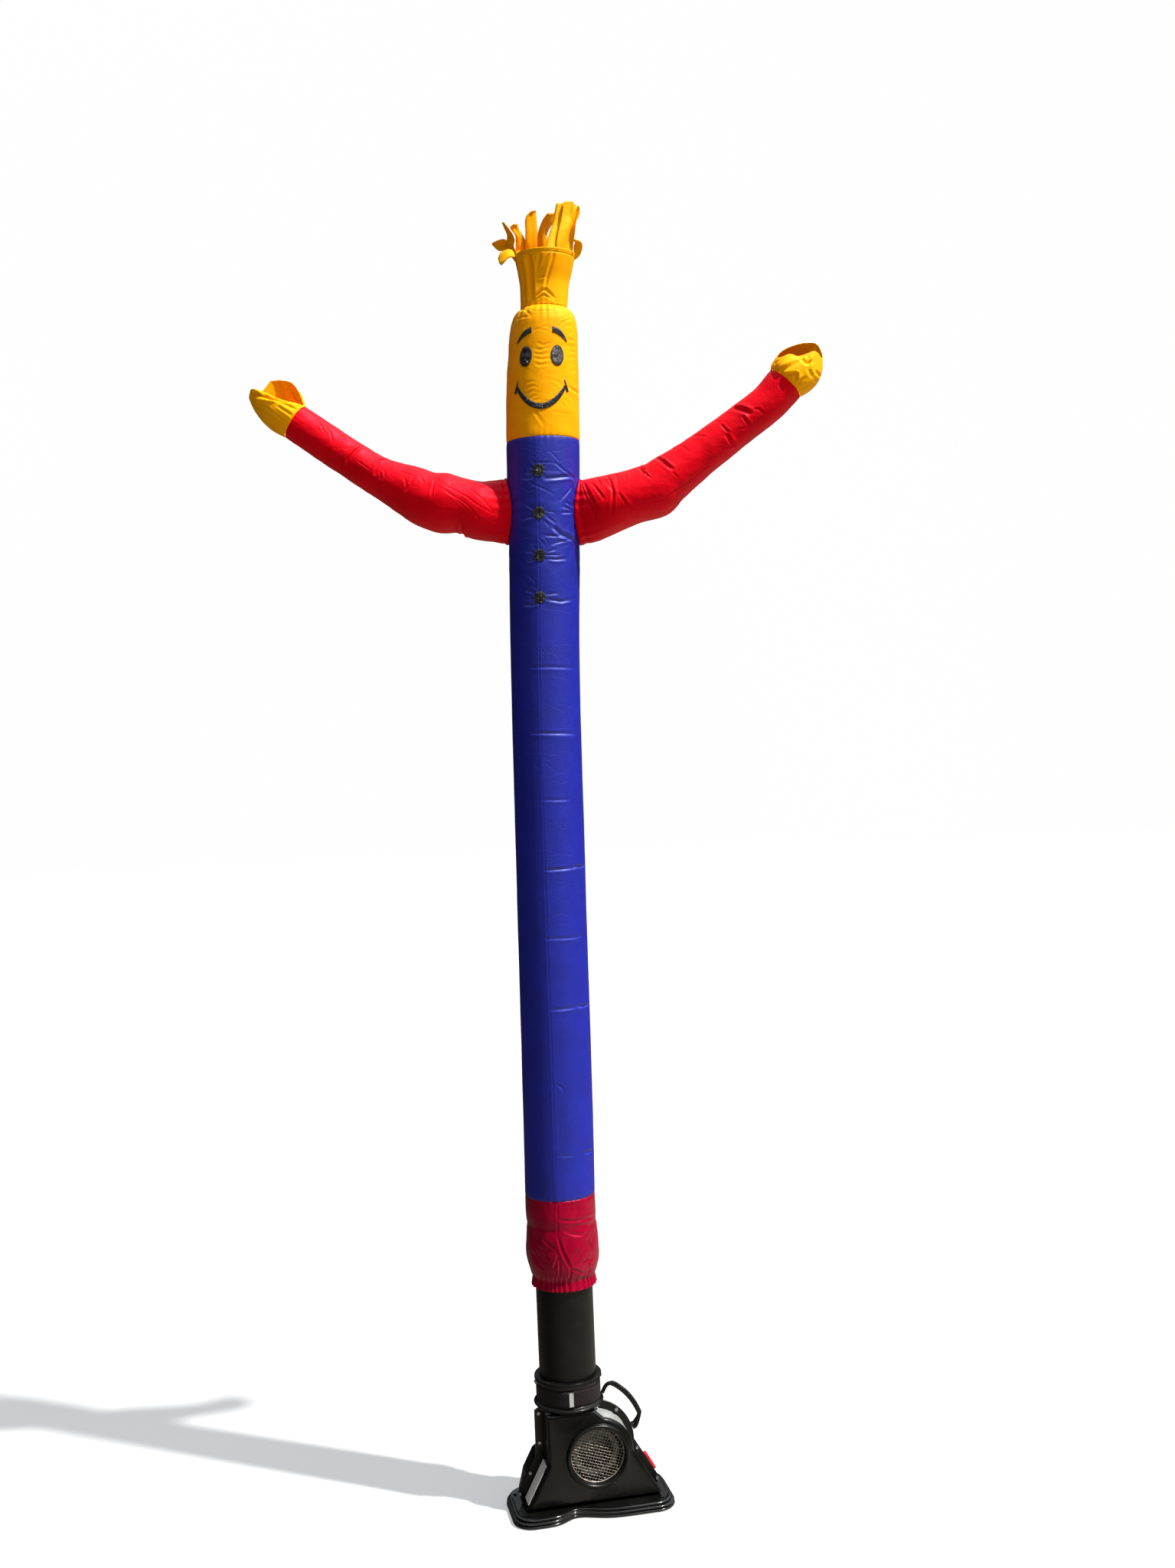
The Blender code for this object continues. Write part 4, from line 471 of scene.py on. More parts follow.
# Mouldings: base and worn colours, roughness, grain, scratch strength
SHELL_COLOURS = (0.0026, 0.0028, 0.0022), (0.0100, 0.0095, 0.0085)
SHELL_BLACK = moulded("shell_black", *SHELL_COLOURS, 0.22, 0.0003, 0.25)
# Front shell: pale dust and a painted highlight of the sky on its up-facing top above 0.17 m
SHELL_DUST_AND_SHEEN = moulded("shell_dust_and_sheen", *SHELL_COLOURS, 0.22, 0.0003, 0.25, dust_and_sheen_above=0.170)
BASE_GLOSS = moulded("base_gloss", (0.0030, 0.0032, 0.0028), (0.0110, 0.0105, 0.0098), 0.13, 0.0002, 0.2, 0.6)
PIPE_BLACK = moulded("pipe_black", (0.0022, 0.0022, 0.0015), (0.0090, 0.0080, 0.0065), 0.30, 0.0004, 0.30)
SWITCH_RED = moulded("switch_red", (0.55, 0.012, 0.022), (0.62, 0.05, 0.06), 0.30, 0.0003, 0.1)
LABEL_GREY = moulded("label_grey", (0.62, 0.58, 0.53), (0.76, 0.72, 0.67), 0.5, 0.0003, 0.3)
STRAP = webbing("strap_webbing", (0.040, 0.020, 0.024), (0.003, 0.0022, 0.0026))
WIRE = metal("guard_wire", (0.50, 0.45, 0.37), (0.24, 0.20, 0.15), 0.38, 0.55)
STEEL = metal("steel", (0.55, 0.55, 0.54), (0.26, 0.26, 0.26), 0.32)
DARK_STEEL = metal("dark_steel", (0.16, 0.16, 0.16), (0.06, 0.06, 0.06), 0.35)


# Grids and cloths

def spaced(start, end, count):
    """Numbers from start up to, not including, end."""
    return np.linspace(start, end, count + 1)[:-1]


def numbered(table):
    """The table with a first column of row numbers."""
    return np.column_stack([np.arange(len(table), dtype=float), table])


def units(vectors):
    return vectors / np.maximum(np.linalg.norm(vectors, axis=-1, keepdims=True), 1e-12)


def lengths(path):
    """The distance along a path of points to each of them."""
    return np.concatenate([[0.0], np.cumsum(np.linalg.norm(np.diff(path, axis=0), axis=1))])


def ramp_up(values, start, reach):
    """0 up to start, then an even rise to 1 over the reach; a negative reach goes downwards."""
    return np.clip((values - start) / reach, 0.0, 1.0)


def hermite(table, column, at):
    """A smooth curve through one column of a table, keyed by its first."""
    xs, ys = table[:, 0], table[:, column]
    slopes = np.gradient(ys, xs)
    index = np.clip(np.searchsorted(xs, at) - 1, 0, len(xs) - 2)
    span = xs[index + 1] - xs[index]
    t = (at - xs[index]) / span
    near = (2 * t ** 3 - 3 * t ** 2 + 1) * ys[index] + (t ** 3 - 2 * t ** 2 + t) * span * slopes[index]
    return near + (3 * t ** 2 - 2 * t ** 3) * ys[index + 1] + (t ** 3 - t ** 2) * span * slopes[index + 1]


def curves(table, columns, at):
    return np.stack([hermite(table, column, at) for column in columns], axis=-1)


def stations(start, end, coarse, fine, places):
    """Steps from start to end: fine near the places, coarse elsewhere."""
    here, found = start, [start]
    while here < end:
        here += fine if any(low <= here <= high for low, high in places) else coarse
        found.append(min(here, end))
    if found[-1] - found[-2] < 0.3 * fine:
        found.pop(-2)
    return np.array(found)


def angles_round(front, fine, coarse, back=None):
    """Angles round a tube, from -180; finer from -front to back, which is front if not given."""
    return stations(-180.0, 180.0, coarse, fine, ((-front, back or front),))[:-1]


def wrapped(difference, turn=360.0):
    return (difference + turn / 2) % turn - turn / 2


def fold_field(angles, places, per_degree, folds, narrower=0.62, deeper=1.15, place_of=lambda s: 0.001 * s):
    """Height over the smooth cloth: a trough for each fold, with a lip on either side."""
    height = np.zeros(angles.shape)
    for width, depth, *path in folds:
        width *= 0.001 * narrower
        points = [(a, place_of(s)) for a, s in zip(path[0::2], path[1::2])]
        pairs = list(zip(points, points[1:]))
        steps = [np.hypot((a1 - a0) * per_degree, s1 - s0) for (a0, s0), (a1, s1) in pairs]
        total, done = sum(steps), 0.0
        best, signed, share = (np.full(angles.shape, start) for start in (1e9, 0.0, 0.0))
        for ((a0, s0), (a1, s1)), length in zip(pairs, steps):
            du, dv = (a1 - a0) * per_degree / length, (s1 - s0) / length
            u, v = wrapped(angles - a0) * per_degree, places - s0
            t = np.clip(u * du + v * dv, 0.0, length)
            distance = np.hypot(u - t * du, v - t * dv)
            nearer = distance < best
            signed = np.where(nearer, np.sign(u * dv - v * du) * distance, signed)
            share = np.where(nearer, (done + t) / total, share)
            best = np.where(nearer, distance, best)
            done += length
        x = signed / width
        fade = np.where(best > 5.0 * width, 0.0, np.clip(4.0 * share * (1.0 - share), 0.0, 1.0) ** 0.5)
        lips = 0.50 * np.exp(-((x - 1.7) / 0.9) ** 2) + 0.22 * np.exp(-((x + 1.8) / 1.0) ** 2)
        height += 0.001 * deeper * depth * fade * (lips - np.exp(-x * x))
    return height


def crumple(points, count, seed, stretch=(1.0, 1.0, 1.0), low=-9.0, high=9.0):
    """Facets and creases of a cloth that was packed, from -1 to 1 and always the same."""
    flat = points.reshape(-1, 3)
    pool = flat[(flat[:, 2] > low) & (flat[:, 2] < high)] * stretch
    flat = flat * stretch
    pick = np.random.RandomState(seed)
    fields = []
    for _turn in range(2):
        nearest = np.full(len(flat), 1e9)
        for seat in pool[pick.choice(len(pool), count, replace=False)]:
            nearest = np.minimum(nearest, ((flat - seat) ** 2).sum(axis=1))
        fields.append(np.sqrt(nearest))
    field = (fields[0] - fields[1]).reshape(points.shape[:2])
    inside = (points[..., 2] > low) & (points[..., 2] < high)
    return np.clip(field / np.percentile(np.abs(field[inside]), 98), -1.2, 1.2)


def grid_normals(grid):
    across = np.roll(grid, -1, axis=1) - np.roll(grid, 1, axis=1)
    normals = units(np.cross(across, np.gradient(grid, axis=0)))
    outwards = ((grid - grid.mean(axis=1, keepdims=True)) * normals).sum()
    return normals if outwards > 0 else -normals


def lowest_nearby(height):
    """The lowest height within two grid points, round and along."""
    for shift in (1, 2):
        for way in (shift, -shift):
            height = np.minimum(height, np.roll(height, way, axis=1))
    rows = height.copy()
    for shift in (1, 2):
        rows[shift:] = np.minimum(rows[shift:], height[:-shift])
        rows[:-shift] = np.minimum(rows[:-shift], height[shift:])
    return rows


@contextmanager
def edited(item):
    shape = bmesh.new()
    shape.from_mesh(item.data)
    yield shape
    shape.to_mesh(item.data)
    shape.free()


def turn_outwards(item):
    with edited(item) as shape:
        bmesh.ops.recalc_face_normals(shape, faces=shape.faces)


def mesh_object(name, points, faces, material, uvs=None, smooth=True):
    mesh = bpy.data.meshes.new(name)
    mesh.from_pydata([tuple(point) for point in points], [], faces)
    mesh.materials.append(material)
    if uvs is not None:
        layer = mesh.uv_layers.new(name="weave")
        corners = np.empty(len(mesh.loops), dtype=np.int32)
        mesh.loops.foreach_get("vertex_index", corners)
        layer.data.foreach_set("uv", np.asarray(uvs, dtype=np.float32)[corners].ravel())
    mesh.polygons.foreach_set("use_smooth", [smooth] * len(mesh.polygons))
    mesh.update()
    item = bpy.data.objects.new(name, mesh)
    bpy.context.scene.collection.objects.link(item)
    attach(item, "root")
    turn_outwards(item)
    return item


def stands_for(item, node):
    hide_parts(node)
    return item


def strip(first, second, columns, wrap=True, keep=None):
    """Faces between two rows of points, which start at the numbers first and second."""
    return [(first + c, first + (c + 1) % columns, second + (c + 1) % columns, second + c)
            for c in range(columns if wrap else columns - 1) if keep is None or keep[c]]


def loft(rows, columns, start=0, wrap=True, keep=None):
    """Faces of a grid of points, row after row."""
    faces = []
    for row in range(rows - 1):
        first = start + row * columns
        faces += strip(first, first + columns, columns, wrap, None if keep is None else keep[row])
    return faces


def capped(rows, columns, both=True):
    """Faces of a closed solid of rings: both ends, or only the first, are closed by a face."""
    faces = loft(rows, columns) + [tuple(range(columns))]
    return faces + [tuple((rows - 1) * columns + c for c in reversed(range(columns)))] * both


def hollow(rows, columns):
    """Faces of a ring whose profile closes on itself."""
    return loft(rows, columns) + strip(0, (rows - 1) * columns, columns)


def skin(rows, columns, inner_rows=None, keep=None, inner_keep=None):
    """Faces of a tube of thin cloth: its outer grid's points, then its inner grid's."""
    start = rows * columns
    inner_rows = inner_rows or rows
    faces = loft(rows, columns, 0, True, keep) + loft(inner_rows, columns, start, True, inner_keep)
    faces += strip(0, start, columns)
    return faces + strip(start - columns, start + (inner_rows - 1) * columns, columns)


def slab(rows, columns, wrap=False):
    """Faces of a thin patch, or with wrap of a thin disc whose first ring is closed by a face."""
    size, last = rows * columns, (rows - 1) * columns
    faces = loft(rows, columns, 0, wrap) + loft(rows, columns, size, wrap)
    faces += strip(last, size + last, columns, wrap)
    if wrap:
        return faces + [tuple(range(columns)), tuple(size + c for c in reversed(range(columns)))]
    faces += strip(0, size, columns, False)
    for a in range(0, last, columns):
        faces += [(b, size + b, size + b + columns, b + columns) for b in (a, a + columns - 1)]
    return faces


class Parts:
    """Points, faces and map places of several parts of one piece."""

    def __init__(self):
        self.points, self.faces, self.uvs, self.count = [], [], [], 0

    def add(self, grids, faces, uv=None):
        self.faces += [tuple(self.count + corner for corner in face) for face in faces]
        for grid in grids:
            self.points.append(grid.reshape(-1, 3))
            self.count += len(self.points[-1])
            if uv is not None:
                self.uvs.append(uv.reshape(-1, 2))

    def piece(self, name, material, turned=True):
        points = np.concatenate(self.points)
        uvs = np.concatenate(self.uvs) if self.uvs else None
        return mesh_object(name, to_world(points) if turned else points, self.faces, material, uvs)


def to_world(points):
    return points @ TURN.T + np.array((DUCT_X, 0.0, 0.0))


Cloth = namedtuple("Cloth", "item angles places grid normals")


def make_cloth(name, base, angles, places, height, material, node, keep=None, step=2):
    """A closed thin cloth; its inner side is coarser by the step."""
    normals = grid_normals(base)
    outer = base + normals * height[..., None]
    low = lowest_nearby(height) if step > 1 else height
    picked = [*range(0, len(base) - 1, step), len(base) - 1]
    inner = (base + normals * (low - THICK)[..., None])[picked]
    girth = np.linalg.norm(base[0] - np.roll(base[0], -1, axis=0), axis=1).sum()
    uv = np.stack([angles / 360.0 * girth, places], axis=-1)
    inner_keep = None if keep is None else keep[picked]
    points = np.concatenate([outer.reshape(-1, 3), inner.reshape(-1, 3)])
    uvs = np.concatenate([uv.reshape(-1, 2), uv[picked].reshape(-1, 2)])
    faces = skin(*outer.shape[:2], len(picked), keep, inner_keep)
    item = mesh_object(name, to_world(points), faces, material, uvs)
    if keep is not None:
        edge_holes(item, BODY_MIDDLE_X)
    stands_for(item, node)
    return Cloth(item, angles[0], places[:, 0], outer, grid_normals(outer))


def edge_holes(item, middle_x):
    """Joins the cloth's two faces round the hole on either side."""
    with edited(item) as shape:
        open_edges = [edge for edge in shape.edges if edge.is_boundary]
        for side in (-1.0, 1.0):
            group = [edge for edge in open_edges if side * (edge.verts[0].co.x - middle_x) > 0.0]
            bmesh.ops.bridge_loops(shape, edges=group)
    turn_outwards(item)


def tube_grid(table, angles, heights):
    """Angles, heights and points of a tube, from a table of heights, radii and sideways leans."""
    angles, places = np.meshgrid(angles, heights)
    turn, radius = np.radians(angles), hermite(table, 1, places)
    points = [hermite(table, 2, places) + radius * np.sin(turn), -radius * np.cos(turn), places]
    return angles, places, np.stack(points, axis=-1)


def away(distance, reach):
    """A share that dies away from 1 with the distance."""
    return np.exp(-np.maximum(distance, 0.0) / reach)


def gathers(angles, distance, count, depth, reach, seed, pinch):
    """A sewn end's draw inwards, and unevenly spaced puckers beside it that die away."""
    turn = np.radians(angles)
    wander = 0.35 * np.sin(3 * turn + seed) + 0.25 * np.sin(5 * turn + 2.1 * seed)
    wave = np.cos(count * (turn + 0.10 * wander)) * (0.7 + 0.3 * np.sin(4 * turn + seed))
    return depth * wave * away(distance, reach) - pinch * away(distance, 0.004)


# The arms' roots: side and height, then the sewn oval's half height and half depth
ROOTS = ((-1.0, 2.221), (1.0, 2.213))
ROOT_HALF_HEIGHT = 0.0735
ROOT_HALF_DEPTH = 0.040
ROOT_GAP = 0.0008

BUTTON_RADIUS = 0.0133
BUTTON_AZIMUTH = -5.2
BUTTON_HEIGHTS = (2.296, 2.204, 2.113, 2.022)


def around_root(angles, heights, side, z):
    """Puckers on the body that fan out from an arm's sewn root."""
    across, up = wrapped(angles - 90.0 * side) * PER_DEGREE, heights - z
    ring = np.hypot(across / (ROOT_HALF_DEPTH + 0.004), up / (ROOT_HALF_HEIGHT + 0.003))
    turn = np.arctan2(up / ROOT_HALF_HEIGHT, across / ROOT_HALF_DEPTH)
    wave = np.cos(22 * turn + 1.3 * np.sin(3 * turn)) * (0.6 + 0.4 * np.sin(5 * turn + 0.7))
    return (0.0011 * wave - 0.0005) * away((ring - 1.0) * ROOT_HALF_DEPTH, 0.015)


def button_pucker(angles, heights, z):
    """A button's own dent and the short rays round it."""
    across, up = wrapped(angles - BUTTON_AZIMUTH) * PER_DEGREE, heights - z
    distance, turn = np.hypot(across, up), np.arctan2(up, across)
    rays = np.cos(9 * turn + 40.0 * z) * (0.5 + 0.5 * np.cos(turn) ** 2)
    rays *= away(distance - BUTTON_RADIUS, 0.007) * np.clip(distance / BUTTON_RADIUS, 0.0, 1.0) ** 3
    return 0.0007 * rays - 0.0014 * np.exp(-(distance / 0.024) ** 2)


def make_body():
    foot, top = BODY[[0, -1], 0]
    dense = [(z - 0.016, z + 0.016) for z in (0.804, 1.125, 1.280, 1.431, 1.583, 1.727, 1.870)]
    dense += [(0.70, 0.716), (0.945, 0.965), (1.99, 2.34), (2.350, 2.37)]
    heights = stations(foot, top, 0.0085, 0.0022, dense)
    angles, places, base = tube_grid(BODY, angles_round(76, 1.5, 4.8), heights)
    height = fold_field(angles, places, PER_DEGREE, BODY_FOLDS)
    height += gathers(angles, top - places, 34, 0.0005, 0.012, 0.4, 0.0012)
    height += gathers(angles, places - foot, 30, 0.0004, 0.010, 1.4, 0.0010)
    middle = 0.5 * (angles + np.roll(angles, -1, axis=1))
    hole = np.zeros(angles.shape, dtype=bool)
    for side, z in ROOTS:
        height += around_root(angles, places, side, z)
        across = wrapped(middle - 90.0 * side) * PER_DEGREE
        hole |= (across / 0.030) ** 2 + ((places - z) / 0.064) ** 2 < 1.0
    hole[1:-1:2] = hole[0:-2:2]
    for z in BUTTON_HEIGHTS:
        height += button_pucker(angles, places, z)
    seam = np.interp(places, (0.70, 1.10, 1.65, 1.95, 2.37), (-4.0, -5.4, -7.5, -6.6, -6.0))
    height += 0.0011 * np.exp(-np.abs(wrapped(angles - seam)) * PER_DEGREE / 0.010)
    chest = np.exp(-((places - 2.17) / 0.13) ** 4)
    height += 0.0007 * chest * crumple(base, 260, 3, (1.0, 1.0, 1.25), 1.98, 2.37)
    height += 0.00030 * (1.0 - chest) * crumple(base, 160, 5, (1.0, 1.0, 0.6))
    return make_cloth("body_cloth", base, angles, places, height, BLUE, "body_tube", ~hole)


def make_head():
    foot, top = HEAD[[0, -1], 0]
    runs = ((foot, 2.385, 7), (2.388, 2.618, 92), (2.62, top, 26))
    heights = np.concatenate([np.linspace(*run) for run in runs])
    angles, places, base = tube_grid(HEAD, angles_round(86, 1.7, 4.4), heights)
    height = fold_field(angles, places, PER_DEGREE, HEAD_FOLDS, 0.50, 0.60)
    height += gathers(angles, places - foot, 34, 0.0005, 0.010, 0.4, 0.0012)
    turn = np.radians(angles)
    rays = np.cos(26 * turn + 0.8 * np.sin(3 * turn)) * (0.6 + 0.4 * np.sin(7 * turn + 1.0))
    rise = ramp_up(places, 2.600, 0.059) ** 1.6 * (1.0 - 0.75 * ramp_up(places, 2.653, 0.006))
    height += 0.0016 * rise * rays
    height += 0.00045 * crumple(base, 170, 11, (1.0, 1.0, 1.5))
    return make_cloth("head_cloth", base, angles, places, height, YELLOW, "head")


# Heights up the cuff, and how deep its hem's puckers are there
HEM_PUCKER = (0.502, 0.513, 0.522, 0.529, 0.537, 0.550), (0.0048, 0.0042, 0.0040, 0.0026, 0.0005, 0.0)


def make_cuff():
    foot, top = CUFF[[0, -1], 0]
    heights = np.concatenate([np.linspace(foot, 0.534, 26), np.linspace(0.536, top, 68)])
    angles, places, base = tube_grid(CUFF, angles_round(80, 1.15, 2.0), heights)
    turn = np.radians(angles)
    wander = 0.10 * np.sin(2 * turn + 0.4) + 0.06 * np.sin(5 * turn + 1.0)
    wave = 0.5 - 0.5 * np.cos(31 * (turn + wander))
    low = np.interp(places, *HEM_PUCKER)
    height = -low * wave ** 1.4 * (0.75 + 0.25 * np.sin(6 * turn + 2.0))
    height += fold_field(angles, places, PER_DEGREE, CUFF_FOLDS)
    height += gathers(angles, top - places, 30, 0.0005, 0.012, 1.4, 0.0010)
    loose = ramp_up(places, 0.53, 0.02) * (0.35 + 0.65 * ramp_up(places, 0.66, -0.03))
    loose *= ramp_up(places, top, -0.012)
    height += 0.0019 * loose * crumple(base, 60, 21, (1.0, 1.0, 0.8), 0.53, 0.70)
    height = np.maximum(height, PIPE_CLEAR + THICK - hermite(CUFF, 1, np.minimum(places, 0.600)))
    return make_cloth("cuff_cloth", base, angles, places, height, BURGUNDY, "cuff")


def make_hair_tube():
    foot, top = HAIR[[0, -1], 0]
    angles, places, base = tube_grid(HAIR, angles_round(90, 1.7, 3.0), np.linspace(foot, top, 52))
    height = fold_field(angles, places, HAIR_PER_DEGREE, HAIR_FOLDS, 0.80, 1.15)
    turn = np.radians(angles)
    height += 0.0005 * away(places - foot, 0.012) * np.cos(24 * turn + 0.7 * np.sin(3 * turn))
    height += 0.0004 * crumple(base, 34, 31)
    height = np.minimum(height, 0.0022) * ramp_up(places, top, -0.007)
    return make_cloth("hair_cloth", base, angles, places, height, FRINGE, "hair_tube", step=1)


def oval(x, z, direction, half_height, half_depth, turn, side):
    """Points of an oval ring across a direction in the figure's XZ plane."""
    rise = side * half_height * np.cos(turn)
    points = [x - sin(direction) * rise, half_depth * np.sin(turn), z + cos(direction) * rise]
    return np.stack(points, axis=-1)


def arm_base(side, root_z, table, wrist, angles, spacing=0.0021):
    """The arm's grid, and the x of each row's centre."""
    turn = np.radians(angles + 270.0)
    keyed = numbered(table)
    last = len(table) - 1.0
    fine = np.linspace(0.0, last, 400)
    length = lengths(curves(keyed, (1, 2), fine))
    at = np.interp(np.linspace(0.0, length[-1], int(length[-1] / spacing)), length, fine)
    sections = curves(keyed, (1, 2, 3, 4), at)
    before, after = np.maximum(at - 0.3, 0.0), np.minimum(at + 0.3, last)
    ahead = curves(keyed, (1, 2), after) - curves(keyed, (1, 2), before)
    directions = np.arctan2(ahead[:, 1], ahead[:, 0])
    directions += np.maximum(0.0, at - last + 1.0) * wrapped(wrist - directions, tau)
    rings = [oval(x, z, direction, half_height, half_depth, turn, side)
             for (x, z, half_height, half_depth), direction in zip(sections, directions)]
    depth, rise = ROOT_HALF_DEPTH * np.sin(turn), root_z + ROOT_HALF_HEIGHT * np.cos(turn)
    reach = np.sqrt(hermite(BODY, 1, rise) ** 2 - depth ** 2) + ROOT_GAP
    root = np.stack([hermite(BODY, 2, rise) + side * reach, depth, rise], axis=-1)
    lean, radius = (hermite(BODY, column, np.array([root_z]))[0] for column in (2, 1))
    first_x = lean + side * radius
    steps = max(4, int(abs(table[0, 0] - first_x) / spacing * 1.6))
    shares = spaced(0.0, 1.0, steps)
    rows = [root + share * (rings[0] - root) for share in shares]
    along_x = np.concatenate([first_x + shares * (table[0, 0] - first_x), sections[:, 0]])
    return np.array(rows + rings), along_x


def make_arm(node, root, table, wrist, folds, seed):
    base, along_x = arm_base(*root, table, radians(wrist), angles_round(100.0, 1.9, 6.0, 108.0))
    length = lengths(base.mean(axis=1))
    angles, places = np.meshgrid(angles_round(100.0, 1.9, 6.0, 108.0), length)
    order = np.argsort(along_x)
    height = fold_field(angles, places, ARM_PER_DEGREE, folds,
                        place_of=lambda x: np.interp(0.001 * x, along_x[order], length[order]))
    turn = np.radians(angles)
    height += gathers(angles, length[-1] - places, 24, 0.0004, 0.012, 0.9, 0.0008)
    rays = np.cos(19 * turn + 1.1 * np.sin(2 * turn)) * (0.7 + 0.3 * np.sin(5 * turn))
    height += 0.0017 * rays * away(places, 0.022) * ramp_up(places, 0.0, 0.006)
    height -= 0.0016 * np.exp(-((places - 0.010) / 0.004) ** 2)
    height += 0.0006 * np.exp(-((places - 0.004) / 0.003) ** 2)
    height += 0.0007 * crumple(base, 260, seed, (0.7, 1.0, 1.0))
    height *= ramp_up(places, 0.0, 0.003)
    return make_cloth(node + "_cloth", base, angles, places, height, RED, node)


def make_hand(node, side, rim, wrist, folds, seed):
    """An open hand: a sleeve from the round wrist to a floppy rim, given at every 30 degrees."""
    around = angles_round(100.0, 2.0, 3.0, 110.0)
    x, z, upwards, half_width = wrist
    start = oval(x, z, radians(upwards), half_width, half_width, np.radians(around + 270.0), side)
    keyed = np.column_stack([np.arange(-180.0, 181.0, 30.0), np.vstack([rim, rim[:1]])])
    end, bulge = curves(keyed, (1, 2, 3), around), hermite(keyed, 4, around)
    line = units(end.mean(axis=0) - start.mean(axis=0))
    out = 0.5 * (start + end) - 0.5 * (start + end).mean(axis=0)
    out = units(out - (out @ line)[:, None] * line)
    shares = np.linspace(0.0, 1.0, 58)
    swell = 4.0 * shares * (1.0 - shares) * (1.15 - 0.30 * shares)
    base = start + shares[:, None, None] * (end - start) + swell[:, None, None] * bulge[:, None] * out
    length = 0.085
    angles, places = np.meshgrid(around, shares * length)
    height = fold_field(angles, places, HAND_PER_DEGREE, folds, 0.8, 1.3,
                        place_of=lambda percent: 0.01 * percent * length)
    height += gathers(angles, places, 24, 0.0006, 0.012, 0.9, 0.0008)
    height += 0.0008 * crumple(base, 36, seed) * ramp_up(places, 0.0, 0.012)
    height *= ramp_up(places, 0.0, 0.003)
    return make_cloth(node + "_cloth", base, angles, places, height, FRINGE, node, step=1)


def surface_at(cloth, angles, places, lift):
    """Points over a cloth's outer side, at degrees round and places along, raised by lift."""
    column = np.clip(np.searchsorted(cloth.angles, angles) - 1, 0, len(cloth.angles) - 2)
    row = np.clip(np.searchsorted(cloth.places, places) - 1, 0, len(cloth.places) - 2)
    across = ((angles - cloth.angles[column]) / (cloth.angles[column + 1] - cloth.angles[column]))[..., None]
    along = ((places - cloth.places[row]) / (cloth.places[row + 1] - cloth.places[row]))[..., None]
    found = []
    for field in (cloth.grid, cloth.normals):
        low, high = (field[at, column] * (1.0 - across) + field[at, column + 1] * across
                     for at in (row, row + 1))
        found.append(low * (1.0 - along) + high * along)
    return found[0] + units(found[1]) * np.broadcast_to(lift, angles.shape)[..., None]


PATCH_GAP = 0.0004
PATCH_THICK = 0.0006
PatchPart = namedtuple("PatchPart", "angles places rim wrap lift")


def disc_part(azimuth, z, half_width, half_height, edge=0.0022):
    """A round or oval patch as rings of points, its stitched edge marked."""
    border = 1.0 - edge / half_width
    radii = np.concatenate([np.linspace(0.05, border - 0.02, 13), (border + 0.02, 0.5 * (1.0 + border), 1.0)])
    r, t = np.meshgrid(radii, spaced(0.0, tau, 52), indexing="ij")
    angles = azimuth + half_width * r * np.cos(t) / PER_DEGREE
    return PatchPart(angles, z + half_height * r * np.sin(t), (r > border).astype(float), True, 0.0)


def band_part(angles, places, half, lift=0.0):
    """A curved band about a path, its two long edges marked."""
    ahead_x, ahead_z = np.gradient(angles * PER_DEGREE), np.gradient(places)
    share = np.linspace(-1.0, 1.0, 5)
    out = (half / np.hypot(ahead_x, ahead_z))[:, None] * share
    grid_a = angles[:, None] - ahead_z[:, None] * out / PER_DEGREE
    grid_z = places[:, None] + ahead_x[:, None] * out
    rim = np.broadcast_to((np.abs(share) > 0.7).astype(float), grid_a.shape)
    return PatchPart(grid_a, grid_z, rim, False, lift)


def make_patch(name, cloth, parts, bumps, seed, material):
    """A patch sewn on a cloth, following its folds, with its own crinkles."""
    patch, rims = Parts(), []
    for part in parts:
        under = surface_at(cloth, part.angles, part.places, 0.0)
        crinkle = crumple(under, min(9, part.angles.size // 8), seed)
        swell = 0.0004 * part.rim + bumps * (1.0 - part.rim) * (0.5 + 0.4 * crinkle)
        lift = PATCH_GAP + PATCH_THICK + part.lift + swell
        grids = [surface_at(cloth, part.angles, part.places, height) for height in (lift, PATCH_GAP)]
        uv = np.stack([part.angles * PER_DEGREE, part.places], axis=-1)
        patch.add(grids, slab(*part.angles.shape, part.wrap), uv)
        rims += [part.rim.ravel()] * 2
    item = patch.piece(name + "_patch", material)
    layer = item.data.attributes.new("rim", "FLOAT", "POINT")
    layer.data.foreach_set("value", np.concatenate(rims).astype(np.float32))
    stands_for(item, name)


def make_brow(name, side):
    t = np.linspace(0.0, 1.0, 36)
    band = band_part(side * (17.3 + 26.4 * t), 2.599 - 0.024 * t ** 1.8, 0.0062 * (1.0 - 0.84 * t ** 2.4))
    make_patch(name, head, [band], 0.0003, 61, PATCH_BLACK)


def make_mouth():
    t, s = np.linspace(-1.0, 1.0, 90), np.linspace(0.0, 1.0, 16)
    parts = [band_part(41.0 * t, 2.433 + 0.047 * t * t, 0.0061 * (0.36 + 0.64 * (1.0 - t * t) ** 0.6))]
    for side in (-1.0, 1.0):
        half = 0.0028 * np.clip(1.15 - s, 0.25, 1.0)
        parts.append(band_part(side * (44.2 - 5.3 * s), 2.466 + 0.026 * s, half, 0.0002))
    make_patch("mouth", head, parts, 0.0004, 67, PATCH_BLACK)


FRINGE_FOOT = 2.7683
FRINGE_BAND_TOP = 2.7780
FRINGE_RADIUS = 0.0651
FRINGE_LEAN = 0.0450
BAND_FLARE = 0.20
BAND_LEAN = 0.04


